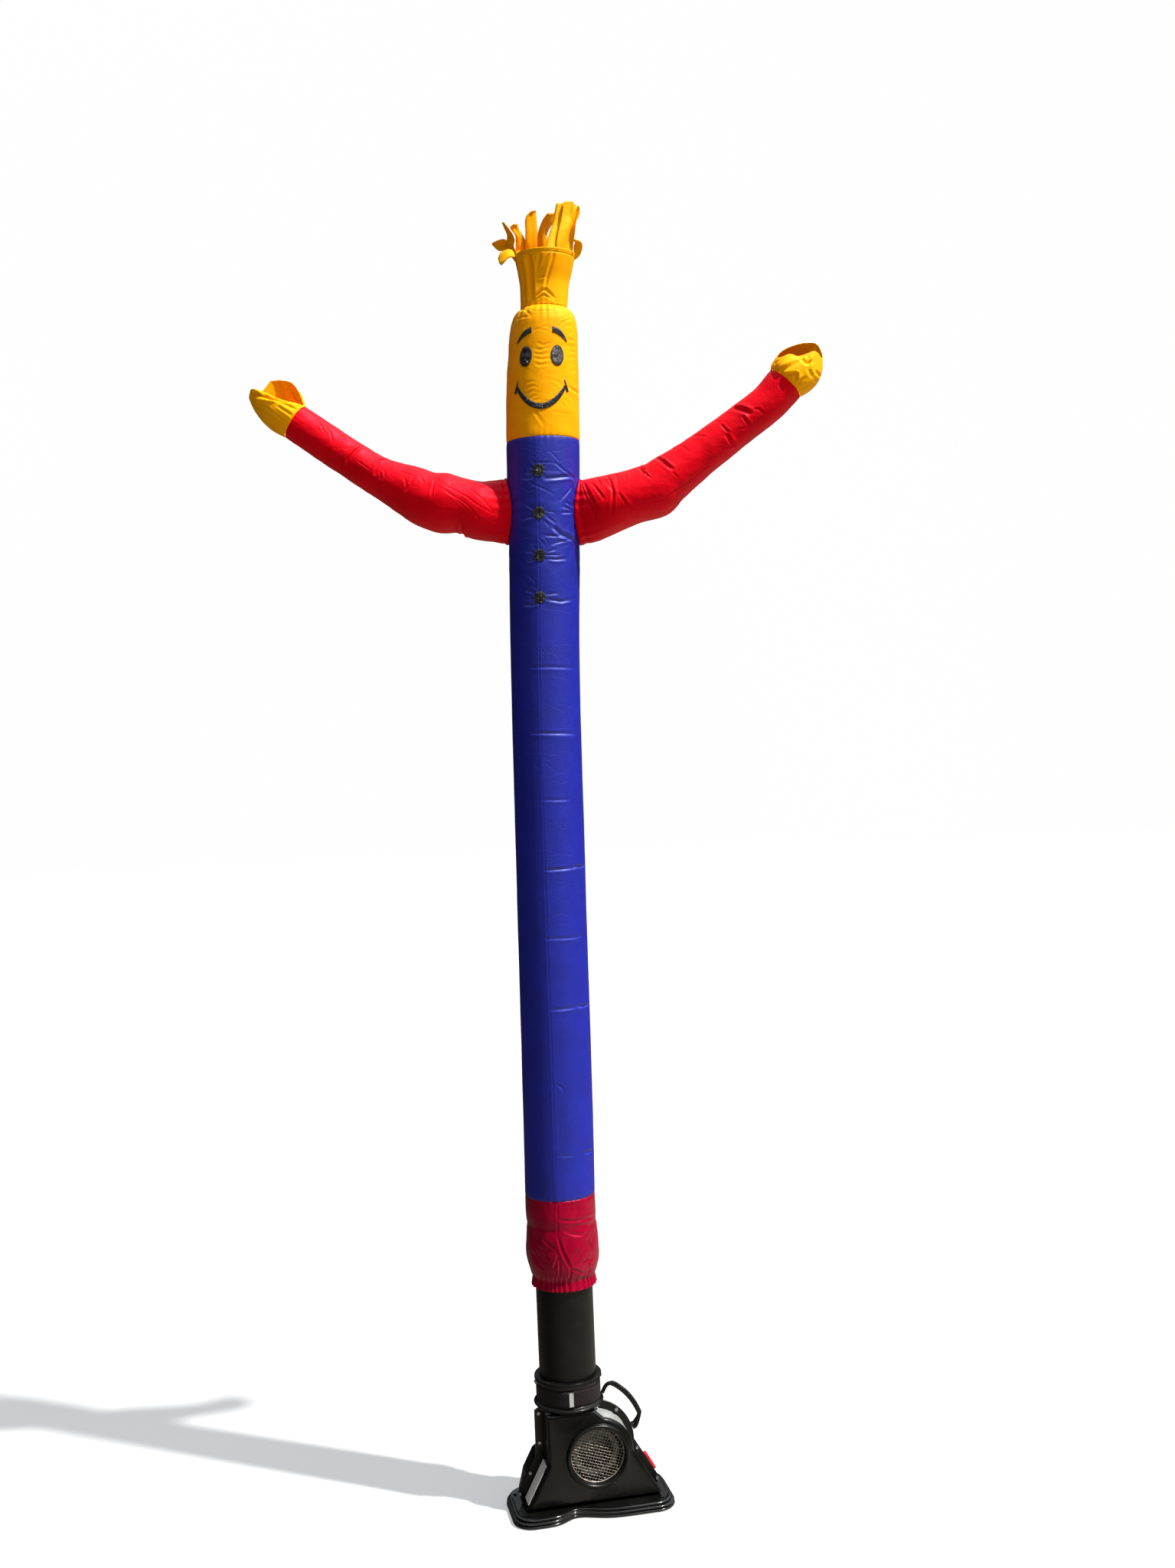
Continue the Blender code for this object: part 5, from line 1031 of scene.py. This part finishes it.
def ribbon_grid(rows, bow, crease_at, crease, count=26, columns=8):
    """A strip's grid of points through its rows of left and right edges, and their normals."""
    keyed, at = numbered(rows), np.linspace(0.0, len(rows) - 1.0, count)
    left, right = curves(keyed, (1, 2, 3), at), curves(keyed, (4, 5, 6), at)
    share = np.linspace(0.0, 1.0, columns)[None, :, None]
    grid = left[:, None] * (1.0 - share) + right[:, None] * share
    normals = units(np.cross(np.gradient(grid, axis=1), np.gradient(grid, axis=0)))
    free = ramp_up(np.linspace(0.0, 3.0, count), 0.0, 1.0)[:, None, None]
    lift = bow * 4.0 * share * (1.0 - share) - crease * np.exp(-((share - crease_at) / 0.16) ** 2)
    return grid + normals * free * lift, normals


def make_fringe():
    """The fringe cut in the top of the hair tube: a band, and the strips that stand on it."""
    fringe = Parts()
    t, z = np.meshgrid(spaced(0.0, tau, 72), np.linspace(FRINGE_FOOT, FRINGE_BAND_TOP, 5))
    lean, wide = FRINGE_LEAN + BAND_LEAN * (z - FRINGE_FOOT), FRINGE_RADIUS + BAND_FLARE * (z - FRINGE_FOOT)
    sides = [np.stack([lean + radius * np.sin(t), -radius * np.cos(t), z], axis=-1)
             for radius in (wide, wide - THICK)]
    fringe.add(sides, skin(*t.shape), np.stack([t * FRINGE_RADIUS, z], axis=-1))
    for number, (bow, crease_at, crease, *edges) in enumerate(STRIPS):
        rows = in_metres(np.reshape(edges, (-1, 6)) + (0, 0, 2700, 0, 0, 2700))
        grid, normals = ribbon_grid(rows, 0.001 * bow, crease_at, 0.001 * crease)
        grid = grid + normals * 0.0007 * crumple(grid, 7, 71 + number)[..., None]
        width = np.linalg.norm(grid[:, 0] - grid[:, -1], axis=1).mean()
        uv = np.meshgrid(np.linspace(0.0, width, grid.shape[1]), np.linspace(0.0, 0.12, grid.shape[0]))
        half = normals * 0.0004
        fringe.add([grid + half, grid - half], slab(*grid.shape[:2]), np.stack(uv, axis=-1))
    return stands_for(fringe.piece("hair_fringe_cloth", STRIPS_YELLOW), "hair_fringe")


# Wrists: x, z, the degrees upwards of the sleeve, half width
WRIST_LEFT = (-0.5203, 2.4375, 144.0, 0.0406)
WRIST_RIGHT = (0.5643, 2.4772, 46.5, 0.0437)

body = make_body()
head = make_head()
cuff = make_cuff()
hair = make_hair_tube()
arm_left = make_arm("arm_left", ROOTS[0], ARM_LEFT, WRIST_LEFT[2], LEFT_FOLDS, 41)
arm_right = make_arm("arm_right", ROOTS[1], ARM_RIGHT, WRIST_RIGHT[2], RIGHT_FOLDS, 43)
hand_left = make_hand("hand_left", -1.0, RIM_LEFT, WRIST_LEFT, LEFT_HAND_FOLDS, 51)
hand_right = make_hand("hand_right", 1.0, RIM_RIGHT, WRIST_RIGHT, RIGHT_HAND_FOLDS, 53)
fringe = make_fringe()

EYE_AZIMUTH = 26.0
EYE_Z = 2.543
EYE_HALF_WIDTH = 0.0150
EYE_HALF_HEIGHT = 0.0224

for number, z in enumerate(BUTTON_HEIGHTS, start=1):
    disc = disc_part(BUTTON_AZIMUTH, z, BUTTON_RADIUS, BUTTON_RADIUS)
    make_patch("button_%d" % number, body, [disc], 0.0010,
               80 + number, BUTTON_GREY)
for name, side, vinyl in (("eye_left", -1.0, EYE_DARK), ("eye_right", 1.0, EYE_PAINTED_SUNLIT)):
    disc = disc_part(side * EYE_AZIMUTH, EYE_Z, EYE_HALF_WIDTH, EYE_HALF_HEIGHT)
    make_patch(name, head, [disc], 0.0018, 90 + int(side), vinyl)
make_brow("brow_left", -1.0)
make_brow("brow_right", 1.0)
make_mouth()


# The blower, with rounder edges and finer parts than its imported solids

INLET_X, INLET_Z = 0.012, 0.126
INLET_RADIUS = 0.0618
SCROLL_RADIUS = 0.083
SHELL_WALL = 0.0025
SEAM_Y = 0.0027
FRONT_FACE = -0.058
REAR_FACE = 0.070
EDGE_ROUND = 0.009
REAR_BULGE = 0.012
FOOT_LEFT, KNEE_LEFT, NECK_LEFT = (-0.150, 0.023), (-0.099, 0.118), (-0.099, 0.2285)
FOOT_RIGHT = (0.1555, 0.023)
SHELL_TOP = 0.2285
MESH_Y = -0.053


def round_inlet(radius, turns, y):
    """Points about the inlet's axis."""
    x, z = INLET_X + radius * np.cos(turns), INLET_Z + radius * np.sin(turns)
    return np.stack(np.broadcast_arrays(x, y, z), axis=-1)


def round_pipe(radius, turns, z):
    """Points about the pipe's axis."""
    x, y = DUCT_X + radius * np.sin(turns), -radius * np.cos(turns)
    return np.stack(np.broadcast_arrays(x, y, z), axis=-1)


def lathe(placed, profile, sides):
    """Rings of a profile of radii and places along an axis; placed makes one ring."""
    turns = spaced(0.0, tau, sides)
    return np.concatenate([placed(radius, turns, place) for radius, place in profile])


def walk(start, end, step=3.0):
    """Points from start up to, not including, end, at even turns round the inlet."""
    start, end = np.array(start), np.array(end)
    first, last = (atan2(z - INLET_Z, x - INLET_X) for x, z in (start, end))
    count = max(1, round(abs(wrapped(last - first, tau)) / radians(step)))
    return start + spaced(0.0, 1.0, count)[:, None] * (end - start)


def scroll_point(degrees_up):
    turn = radians(degrees_up)
    return INLET_X + SCROLL_RADIUS * cos(turn), INLET_Z + SCROLL_RADIUS * sin(turn)


def housing_outline():
    """Rows of x, z, flange and rear bulge, clockwise from the right foot, seen from the front."""
    shoulder = (scroll_point(78.0)[0] - 0.022, SHELL_TOP)
    slope, neck = walk(FOOT_LEFT, KNEE_LEFT)[1:], walk(KNEE_LEFT, NECK_LEFT)
    share = np.linspace(0.0, 1.0, 27)
    runs = (
        (walk(FOOT_RIGHT, FOOT_LEFT), 0.0022, 0.0),
        ([FOOT_LEFT], 0.0022, 0.0),
        (slope, 0.0185, REAR_BULGE * np.minimum(1.0, 0.25 * np.arange(1, len(slope) + 1))),
        (neck, 0.0185, REAR_BULGE * np.maximum(0.0, 0.5 - 0.25 * np.arange(len(neck)))),
        (walk(NECK_LEFT, shoulder), 0.0015, 0.0),
        ([shoulder], 0.0015, 0.0),
        ([scroll_point(78.0 * (1.0 - part)) for part in share], 0.020 - 0.007 * share, 0.0),
        (walk(scroll_point(0.0), FOOT_RIGHT)[1:], 0.013, 0.0),
    )
    rows = []
    for points, flange, bulge in runs:
        nothing = np.zeros(len(points))
        rows.append(np.column_stack([points, nothing + flange, nothing + bulge]))
    return np.concatenate(rows)


def outline_ring(outline, y, shift=0.0, inset=0.0):
    """The outline at one depth, inset evenly and then moved out by each point's own shift."""
    flat = outline[:, :2]
    ahead, behind = units(np.roll(flat, -1, axis=0) - flat), units(flat - np.roll(flat, 1, axis=0))
    both = ahead + behind
    normal = units(np.column_stack([-both[:, 1], both[:, 0]]))
    mitre = 1.0 / np.maximum(0.52, normal[:, 1] * behind[:, 0] - normal[:, 0] * behind[:, 1])
    inner = flat - inset * mitre[:, None] * normal
    corners = np.flatnonzero(np.abs(behind[:, 0] * ahead[:, 1] - behind[:, 1] * ahead[:, 0]) > 0.004)
    for first, last in zip(corners, np.roll(corners, -1)):
        between = np.arange(first + 1, last if last > first else last + len(flat)) % len(flat)
        share = np.linalg.norm(flat[between] - flat[first], axis=1) / np.linalg.norm(flat[last] - flat[first])
        inner[between] = inner[first] + share[:, None] * (inner[last] - inner[first])
    moved = inner + (shift * np.minimum(mitre, 1.6))[:, None] * normal
    return np.column_stack([moved[:, 0], np.full(len(moved), y), moved[:, 1]])


def settle(item):
    """Applies a piece's modifiers to its mesh."""
    shaped = item.evaluated_get(bpy.context.evaluated_depsgraph_get())
    mesh = bpy.data.meshes.new_from_object(shaped)
    item.modifiers.clear()
    item.data = mesh


def soften(item, angle=32.0):
    """Smooth faces, with the edges sharper than the angle kept sharp."""
    with edited(item) as shape:
        for face in shape.faces:
            face.smooth = True
        for edge in shape.edges:
            edge.smooth = not (edge.is_manifold and edge.calc_face_angle(0.0) > radians(angle))


def hard_piece(name, node, points, faces, material, wall=0.0, bevel=0.0):
    """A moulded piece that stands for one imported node."""
    item = mesh_object(name, points, faces, material, smooth=False)
    if wall:
        thick = item.modifiers.new("wall", "SOLIDIFY")
        thick.thickness = wall
        thick.offset = -1.0
    if bevel:
        round_off = item.modifiers.new("edge", "BEVEL")
        round_off.width = bevel
        round_off.segments = 3
        round_off.limit_method = "ANGLE"
        round_off.angle_limit = radians(32.0)
    if wall or bevel:
        settle(item)
    soften(item)
    stands_for(item, node)


def make_shells():
    outline = housing_outline()
    turns = np.arctan2(outline[:, 1] - INLET_Z, outline[:, 0] - INLET_X)
    flange, bulge = outline[:, 2], outline[:, 3]
    edge = [(EDGE_ROUND * (1.0 - cos(turn)), EDGE_ROUND * (1.0 - sin(turn)))
            for turn in np.linspace(0.0, pi / 2, 7)]

    def shell(name, node, material, profile, rounded, depths, closed):
        """Rings round the inlet, then the rounded edge, then rings of the outline."""
        rings = [round_inlet(radius, turns, y) for radius, y in profile]
        rings += [outline_ring(outline, *ring) for ring in rounded + depths]
        faces = capped(len(rings), len(turns), False) if closed else loft(len(rings), len(turns))
        hard_piece(name, node, np.concatenate(rings), faces, material, wall=SHELL_WALL)

    profile = [(INLET_RADIUS, y) for y in (-0.045, -0.054, -0.0605)]
    profile += [(INLET_RADIUS + 0.0047 * (1.0 - cos(turn)), -0.0622 - 0.0050 * sin(turn))
                for turn in np.linspace(0.0, pi, 11)[1:]]
    profile += [(0.0714, -0.0600), (0.0722, -0.0586), (0.0738, FRONT_FACE)]
    # The front shell's top is painted pale: dust and a painted sky highlight
    shell("shell_front_moulding", "shell_front", SHELL_DUST_AND_SHEEN, profile,
          [(FRONT_FACE + depth, 0.0, inset) for depth, inset in edge],
          [(-0.030,), (-SEAM_Y - 0.0012,), (-SEAM_Y, 0.0008), (-SEAM_Y, flange)], False)
    profile = [(0.030, 0.084), (0.034, 0.0838), (0.0385, 0.0826), (0.0418, 0.0803), (0.0440, 0.0770),
               (0.0452, 0.0730), (0.0470, 0.0708), (0.0500, REAR_FACE)]
    shell("shell_rear_moulding", "shell_rear", SHELL_BLACK, profile,
          [(REAR_FACE - depth, bulge, inset) for depth, inset in edge],
          [(0.020, bulge), (0.012, 0.5 * bulge), (SEAM_Y,), (SEAM_Y, flange)], True)


TIE_SLOTS = ((-0.153, -0.069, 0.0), (0.149, -0.070, 0.0), (-0.162, 0.040, 90.0), (0.166, 0.040, 90.0))
BASE_HALF_WIDTH, BASE_FRONT, BASE_REAR = 0.183, 0.098, 0.086


def base_ring(turns, z, inset):
    """A rounded rectangle with a shallower, rounder rear and a wave in its front edge."""
    at_rear = np.sin(turns) > 0.0
    depth, corner = np.where(at_rear, BASE_REAR, BASE_FRONT), np.where(at_rear, 0.060, 0.044)
    far_x, far_y = BASE_HALF_WIDTH * 1.45 * np.cos(turns), depth * 1.45 * np.sin(turns)
    inner_x = np.clip(far_x, corner - BASE_HALF_WIDTH, BASE_HALF_WIDTH - corner)
    inner_y = np.clip(far_y, corner - depth, depth - corner)
    share = corner / np.hypot(far_x - inner_x, far_y - inner_y)
    edge_x, edge_y = inner_x + share * (far_x - inner_x), inner_y + share * (far_y - inner_y)
    x, y = edge_x * (1.0 - inset / BASE_HALF_WIDTH), edge_y * (1.0 - inset / BASE_FRONT)
    wave = 0.026 * np.exp(-((edge_x + 0.043) / np.where(edge_x < -0.043, 0.032, 0.055)) ** 2)
    y = np.where(y < 0.0, y + wave * (y / BASE_FRONT) ** 2, y)
    return np.column_stack([x, y, np.full(len(x), z)])


def capsule(length, width, middle=(0.0, 0.0)):
    """A slot's outline, counter-clockwise."""
    turns = np.linspace(-pi / 2, pi / 2, 10)
    radius = 0.5 * width
    right = np.column_stack([0.5 * length - radius + radius * np.cos(turns), radius * np.sin(turns)])
    return np.concatenate([right, -right]) + middle


def make_base():
    turns = spaced(0.0, tau, 180)
    rings = [base_ring(turns, z, inset) for z, inset in BASE_PROFILE]
    faces = capped(len(rings), len(turns))
    item = mesh_object("base_moulding", np.concatenate(rings), faces, BASE_GLOSS, smooth=False)
    outline = capsule(0.014, 0.006)
    cutters = []
    for x, y, degrees_round in TIE_SLOTS:
        turn = Matrix.Translation((x, y, 0.0)) @ Matrix.Rotation(radians(degrees_round), 4, "Z")
        corners = [turn @ Vector((u, v, z)) for z in (-0.01, 0.03) for u, v in outline]
        mesh = bpy.data.meshes.new("slot_cutter")
        mesh.from_pydata(corners, [], capped(2, len(outline)))
        cutter = bpy.data.objects.new("slot_cutter", mesh)
        bpy.context.scene.collection.objects.link(cutter)
        cutters.append(cutter)
        cut = item.modifiers.new("slot", "BOOLEAN")
        cut.operation = "DIFFERENCE"
        cut.object = cutter
    settle(item)
    for cutter in cutters:
        bpy.data.objects.remove(cutter)
    soften(item, 40.0)
    stands_for(item, "base_pan")


def bead(radius, z, size, reach, steps=6):
    """A rounded bead on a collar's profile, from reach degrees up to as many down."""
    turns = np.radians(np.linspace(reach, -reach, steps))
    return list(zip(radius + size * np.cos(turns), z + size * np.sin(turns)))


def make_collar():
    profile = [(0.0641, 0.2980), (0.0705, 0.2980)]
    profile += bead(0.0733, 0.29585, 0.0019, 80) + bead(0.0733, 0.29175, 0.0019, 80)
    profile += [(0.0708, 0.2884), (0.0705, 0.2872), (0.0705, 0.2436), (0.0712, 0.2428)]
    profile += bead(0.0757, 0.2382, 0.0024, 70, 8)
    profile += [(0.0735, 0.2316), (0.0722, 0.2309), (0.0560, 0.2307), (0.0560, 0.2382), (0.0641, 0.2382)]
    hard_piece("collar_moulding", "outlet_collar", lathe(round_pipe, profile, 128),
               hollow(len(profile), 128), SHELL_BLACK)


def make_strap():
    """Webbing wound once round the collar, its end lapped over its start."""
    lapped = radians(16.0)
    height, turn = np.meshgrid(np.linspace(0.0, 1.0, 9), np.linspace(0.0, tau + lapped, 190))
    ripple = 0.00016 * np.sin(11.0 * turn) * np.sin(3.0 * height + turn)
    radius = 0.0709 + 0.0017 * ramp_up(turn, tau - lapped, lapped) + ripple
    edge = 0.0004 * (2.0 * height - 1.0) ** 8
    z = 0.245 + 0.036 * height + 0.0004 * np.sin(3.0 * turn)
    strap = Parts()
    strap.add([round_pipe(radius + lift, turn - radians(17.0), z) for lift in (0.0013 - edge, 0.0)],
              slab(*turn.shape), np.stack([0.0715 * turn, z], axis=-1))
    item = stands_for(strap.piece("strap_web", STRAP, turned=False), "collar_strap")


def make_handle():
    """The carry handle: a round-cornered bar with a ribbed grip on its outer side."""
    rows, sides = 260, 24
    at = np.linspace(0.0, len(HANDLE) - 1.0, rows)
    x, z, radius = curves(numbered(HANDLE), (1, 2, 3), at).T[..., None]
    along = lengths(np.hstack([x, z]))
    ahead_x, ahead_z = units(np.hstack([np.gradient(x, axis=0), np.gradient(z, axis=0)])).T[..., None]
    grip = (ramp_up(at, 3.4, 0.4) * ramp_up(at, 9.2, -0.4))[:, None]
    ribs = grip * (np.sin(along / 0.0034 * tau) > 0.1)[:, None]
    turns = spaced(0.0, tau, sides)
    out, wide = (np.sign(wave) * np.abs(wave) ** 0.65 for wave in (np.cos(turns), np.sin(turns)))
    rise = radius * ((0.94 + 0.22 * grip) * out + 0.26 * ribs * (out > 0.25))
    rings = np.stack([x - ahead_z * rise, radius * 0.96 * wide, z + ahead_x * rise], axis=-1)
    hard_piece("handle_moulding", "carry_handle", rings.reshape(-1, 3),
               capped(rows, sides), SHELL_BLACK)


def make_guard():
    """The inlet's wire mesh: two sets of crimped wires, over and under, in a ring."""
    pitch, wire, reach, tilt = 0.00635, 0.00042, 0.0607, radians(-20.0)
    guard = Parts()
    turns = spaced(0.0, tau, 6)[:, None]
    for way in (0, 1):
        for number in range(-9, 10):
            half = sqrt(reach ** 2 - (number * pitch) ** 2)
            s = np.linspace(-half, half, max(8, int(half * 2 / pitch * 4)))
            crimp = 0.00055 * np.cos(s / pitch * pi + pi * (number + way))
            line = np.full(len(s), number * pitch)
            u, v = (s, line) if way else (line, s)
            x, z = INLET_X + u * cos(tilt) - v * sin(tilt), INLET_Z + u * sin(tilt) + v * cos(tilt)
            path = np.column_stack([x, MESH_Y + crimp, z])
            ahead = units(np.gradient(path, axis=0))
            across = units(np.cross(ahead, (0.0, 1.0, 0.0)))
            round_wire = np.cos(turns) * across[:, None] + np.sin(turns) * np.cross(across, ahead)[:, None]
            guard.add([path[:, None] + wire * round_wire], capped(len(s), len(turns)))
    ring = ((0.0592, -0.0542), (0.0608, -0.0544), (0.0608, -0.0518), (0.0592, -0.0520))
    guard.add([lathe(round_inlet, ring, 96)], hollow(4, 96))
    stands_for(guard.piece("guard_wires", WIRE, turned=False), "inlet_mesh")


def make_fan():
    """A caged wheel: many curved blades between a back disc and a front ring."""
    blades, front, back, half_thick = 40, -0.0335, 0.0140, 0.0003
    corners = ((front, -half_thick), (front, half_thick), (back, half_thick), (back, -half_thick))
    share = np.linspace(0.0, 1.0, 6)
    radius = 0.0405 + 0.0110 * share
    fan = Parts()
    for number in range(blades):
        lead = tau * number / blades + 0.16 * share ** 1.8
        rings = [round_inlet(radius, lead + side / radius, y) for y, side in corners]
        fan.add([np.stack(rings, axis=1)], capped(6, 4))
    for profile in (((0.0400, -0.0360), (0.0520, -0.0360), (0.0520, -0.0325), (0.0400, -0.0325)),
                    ((0.0060, 0.0130), (0.0520, 0.0130), (0.0520, 0.0158), (0.0060, 0.0158))):
        fan.add([lathe(round_inlet, profile, 72)], hollow(4, 72))
    hard_piece("fan_blades", "fan_wheel", np.concatenate(fan.points), fan.faces, DARK_STEEL)


def slope_frame():
    """Axes on the right slope: X down it, Y to the rear and Z out of it."""
    start_x, start_z = scroll_point(0.0)
    rear = Vector((0.0, 1.0, 0.0))
    along = Vector((FOOT_RIGHT[0] - start_x, 0.0, FOOT_RIGHT[1] - start_z)).normalized()
    axes = Matrix((along, rear, along.cross(rear))).transposed().to_4x4()
    return Matrix.Translation((start_x, 0.0, start_z)) @ axes


def block(name, node, outline, low, high, material, bevel):
    """A flat outline on the right slope, raised between two heights, with rounded edges."""
    points = [SLOPE @ Vector((x, y, z)) for z in (low, high) for x, y in outline]
    hard_piece(name, node, points, capped(2, len(outline)), material, bevel=bevel)


def make_pipe():
    """The blower's pipe, a little out of round, with its rolled top rim."""
    heights = [*np.linspace(0.2386, 0.598, 40), 0.5995, 0.600]
    t, z = np.meshgrid(spaced(0.0, tau, 120), heights)
    wave = 0.00022 * np.cos(3 * t + 4 * z) * np.sin(9.0 * z)
    outer = round_pipe(0.0635 + wave - np.where(z > 0.5990, 0.0006, 0.0), t, z).reshape(-1, 3)
    inner = lathe(round_pipe, [(0.0605, 0.5995), (0.0605, 0.2386)], 120)
    hard_piece("pipe_wall", "duct_pipe", np.concatenate([outer, inner]),
               hollow(len(heights) + 2, 120), PIPE_BLACK)


make_pipe()
make_shells()
make_base()
make_collar()
make_strap()
make_handle()
make_guard()
make_fan()
SLOPE = slope_frame()
block("switch_plate_moulding", "switch_plate",
      [(0.0530, 0.0085), (0.1190, 0.0085), (0.1190, 0.0345), (0.0530, 0.0345)],
      0.0003, 0.0033, SHELL_BLACK, 0.0009)
block("pill_moulding", "pill_bar", capsule(0.044, 0.0085, (0.0935, 0.0145)),
      0.0036, 0.0126, BASE_GLOSS, 0.0022)
block("red_hood", "red_guard",
      [(0.0550, 0.0100), (0.0705, 0.0100), (0.0705, 0.0160), (0.0745, 0.0200), (0.1050, 0.0200),
       (0.1050, 0.0262), (0.0975, 0.0320), (0.0650, 0.0320), (0.0550, 0.0225)],
      0.0036, 0.0183, SWITCH_RED, 0.0026)

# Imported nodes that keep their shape
FINISHES = {"strap_tag": TAG, "label_plate": LABEL_GREY}
for node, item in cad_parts.items():
    if getattr(item, "data", None) is not None:
        item.data.materials.clear()
        item.data.materials.append(FINISHES.get(node, STEEL))


# Floor, light and camera

CAMERA_PLACE = (-0.707, -3.456, 1.692)
LENS = 36.39
LOOK_TURN = radians(12.5)
PITCH = atan2(47.0, 2070.0)
ROLL = radians(2.2)
REACH = 24.0
MIDDLE = Vector((0.0, 0.0, 1.5))


def linked(name, data):
    item = bpy.data.objects.new(name, data)
    bpy.context.scene.collection.objects.link(item)
    return item


def toward(azimuth, elevation, reach):
    """A place seen from the figure: azimuth to the viewer's right of the camera."""
    turn = radians(azimuth) - LOOK_TURN
    flat = Vector((sin(turn), -cos(turn), 0.0)) * cos(radians(elevation))
    return (flat + Vector((0.0, 0.0, sin(radians(elevation))))) * reach


def add_sun(place, energy, spread, colour):
    """A sun that stands away from the figure's middle, and faces it."""
    data = bpy.data.lights.new("sun_side", "SUN")
    data.energy = energy
    data.color = colour
    data.angle = spread
    item = linked("sun_side", data)
    item.location = place + MIDDLE
    item.rotation_euler = (-place).to_track_quat("-Z", "Y").to_euler()


def add_camera():
    look = Vector((sin(LOOK_TURN), cos(LOOK_TURN), 0.0))
    right = Vector((cos(LOOK_TURN), -sin(LOOK_TURN), 0.0))
    up = Vector((0.0, 0.0, 1.0))
    ahead = look * cos(PITCH) - up * sin(PITCH)
    above = up * cos(PITCH) + look * sin(PITCH)
    local_x = right * cos(ROLL) - above * sin(ROLL)
    local_y = right * sin(ROLL) + above * cos(ROLL)
    data = bpy.data.cameras.new("camera")
    data.sensor_width = 36.0
    data.lens = LENS
    item = linked("camera", data)
    axes = Matrix((local_x, local_y, -ahead)).transposed().to_4x4()
    item.matrix_world = Matrix.Translation(CAMERA_PLACE) @ axes
    bpy.context.scene.camera = item


def stage_object(name, points, faces, material):
    mesh = bpy.data.meshes.new(name)
    mesh.from_pydata(points, [], faces)
    mesh.materials.append(material)
    item = linked(name, mesh)
    item.visible_diffuse = False
    item.visible_glossy = False
    return item


def add_floor():
    """A pale floor that the camera sees, and that throws no colour on the cloth."""
    shade = new_shade("pale_floor")
    material = shade.done(
        Base_Color=shade.ramp(shade.noise(3.0), (0.0, 0.33), (1.0, 0.36)), Roughness=0.9,
        Emission_Color=(1.0, 1.0, 1.0, 1.0), Emission_Strength=0.36, Specular_IOR_Level=0.05)
    corners = [(REACH * cos(turn), REACH * sin(turn), 0.0) for turn in spaced(0.0, tau, 64)]
    stage_object("floor", corners, [tuple(range(64))], material)


def add_backdrop():
    """A white dome far behind everything, seen by the camera alone."""
    shade = new_shade("backdrop")
    material = shade.done(
        Emission_Color=shade.ramp(shade.noise(0.1, 1.0), (0.0, 0.985), (1.0, 1.0)), Emission_Strength=1.0,
        Base_Color=(0.0, 0.0, 0.0, 1.0), Roughness=1.0, Specular_IOR_Level=0.0)
    points = [(REACH * cos(up) * cos(turn), REACH * cos(up) * sin(turn), REACH * sin(up) - 0.01)
              for up in np.linspace(0.0, pi / 2, 13) for turn in spaced(0.0, tau, 48)]
    dome = stage_object("backdrop_dome", points, loft(13, 48), material)
    dome.visible_shadow = False
    dome.visible_transmission = False


def add_world():
    """Open sky: bright above, dimmer near the ground and in front."""
    shade = Shade(bpy.data.worlds.new("studio"), "Background")
    way = shade.coords.outputs["Generated"]
    up = shade.between(shade.add("SeparateXYZ", Vector=way).outputs["Z"], -1.0, 1.0)
    sky = shade.ramp(
        up, (0.0, (1.10, 0.98, 0.82)), (0.30, (0.74, 0.66, 0.56)), (0.42, 0.05),
        (0.62, (0.06, 0.065, 0.07)), (0.78, (0.95, 1.00, 1.10)), (1.0, (1.50, 1.60, 1.75)))
    facing = shade.add("VectorMath")
    facing.operation = "DOT_PRODUCT"
    shade.join(facing.inputs[0], way)
    shade.join(facing.inputs[1], toward(67, 0, 1.0))
    sunny = shade.between(facing.outputs["Value"], -0.7, 0.9, To_Min=0.22, To_Max=1.25)
    bpy.context.scene.world = shade.done(Color=sky, Strength=sunny)


add_camera()
add_floor()
add_backdrop()
add_world()
add_sun(toward(67, 57, 6.0), 6.8, radians(1.5), (1.0, 0.98, 0.94))

bpy.context.scene.view_settings.view_transform = "Standard"
bpy.context.view_layer.update()
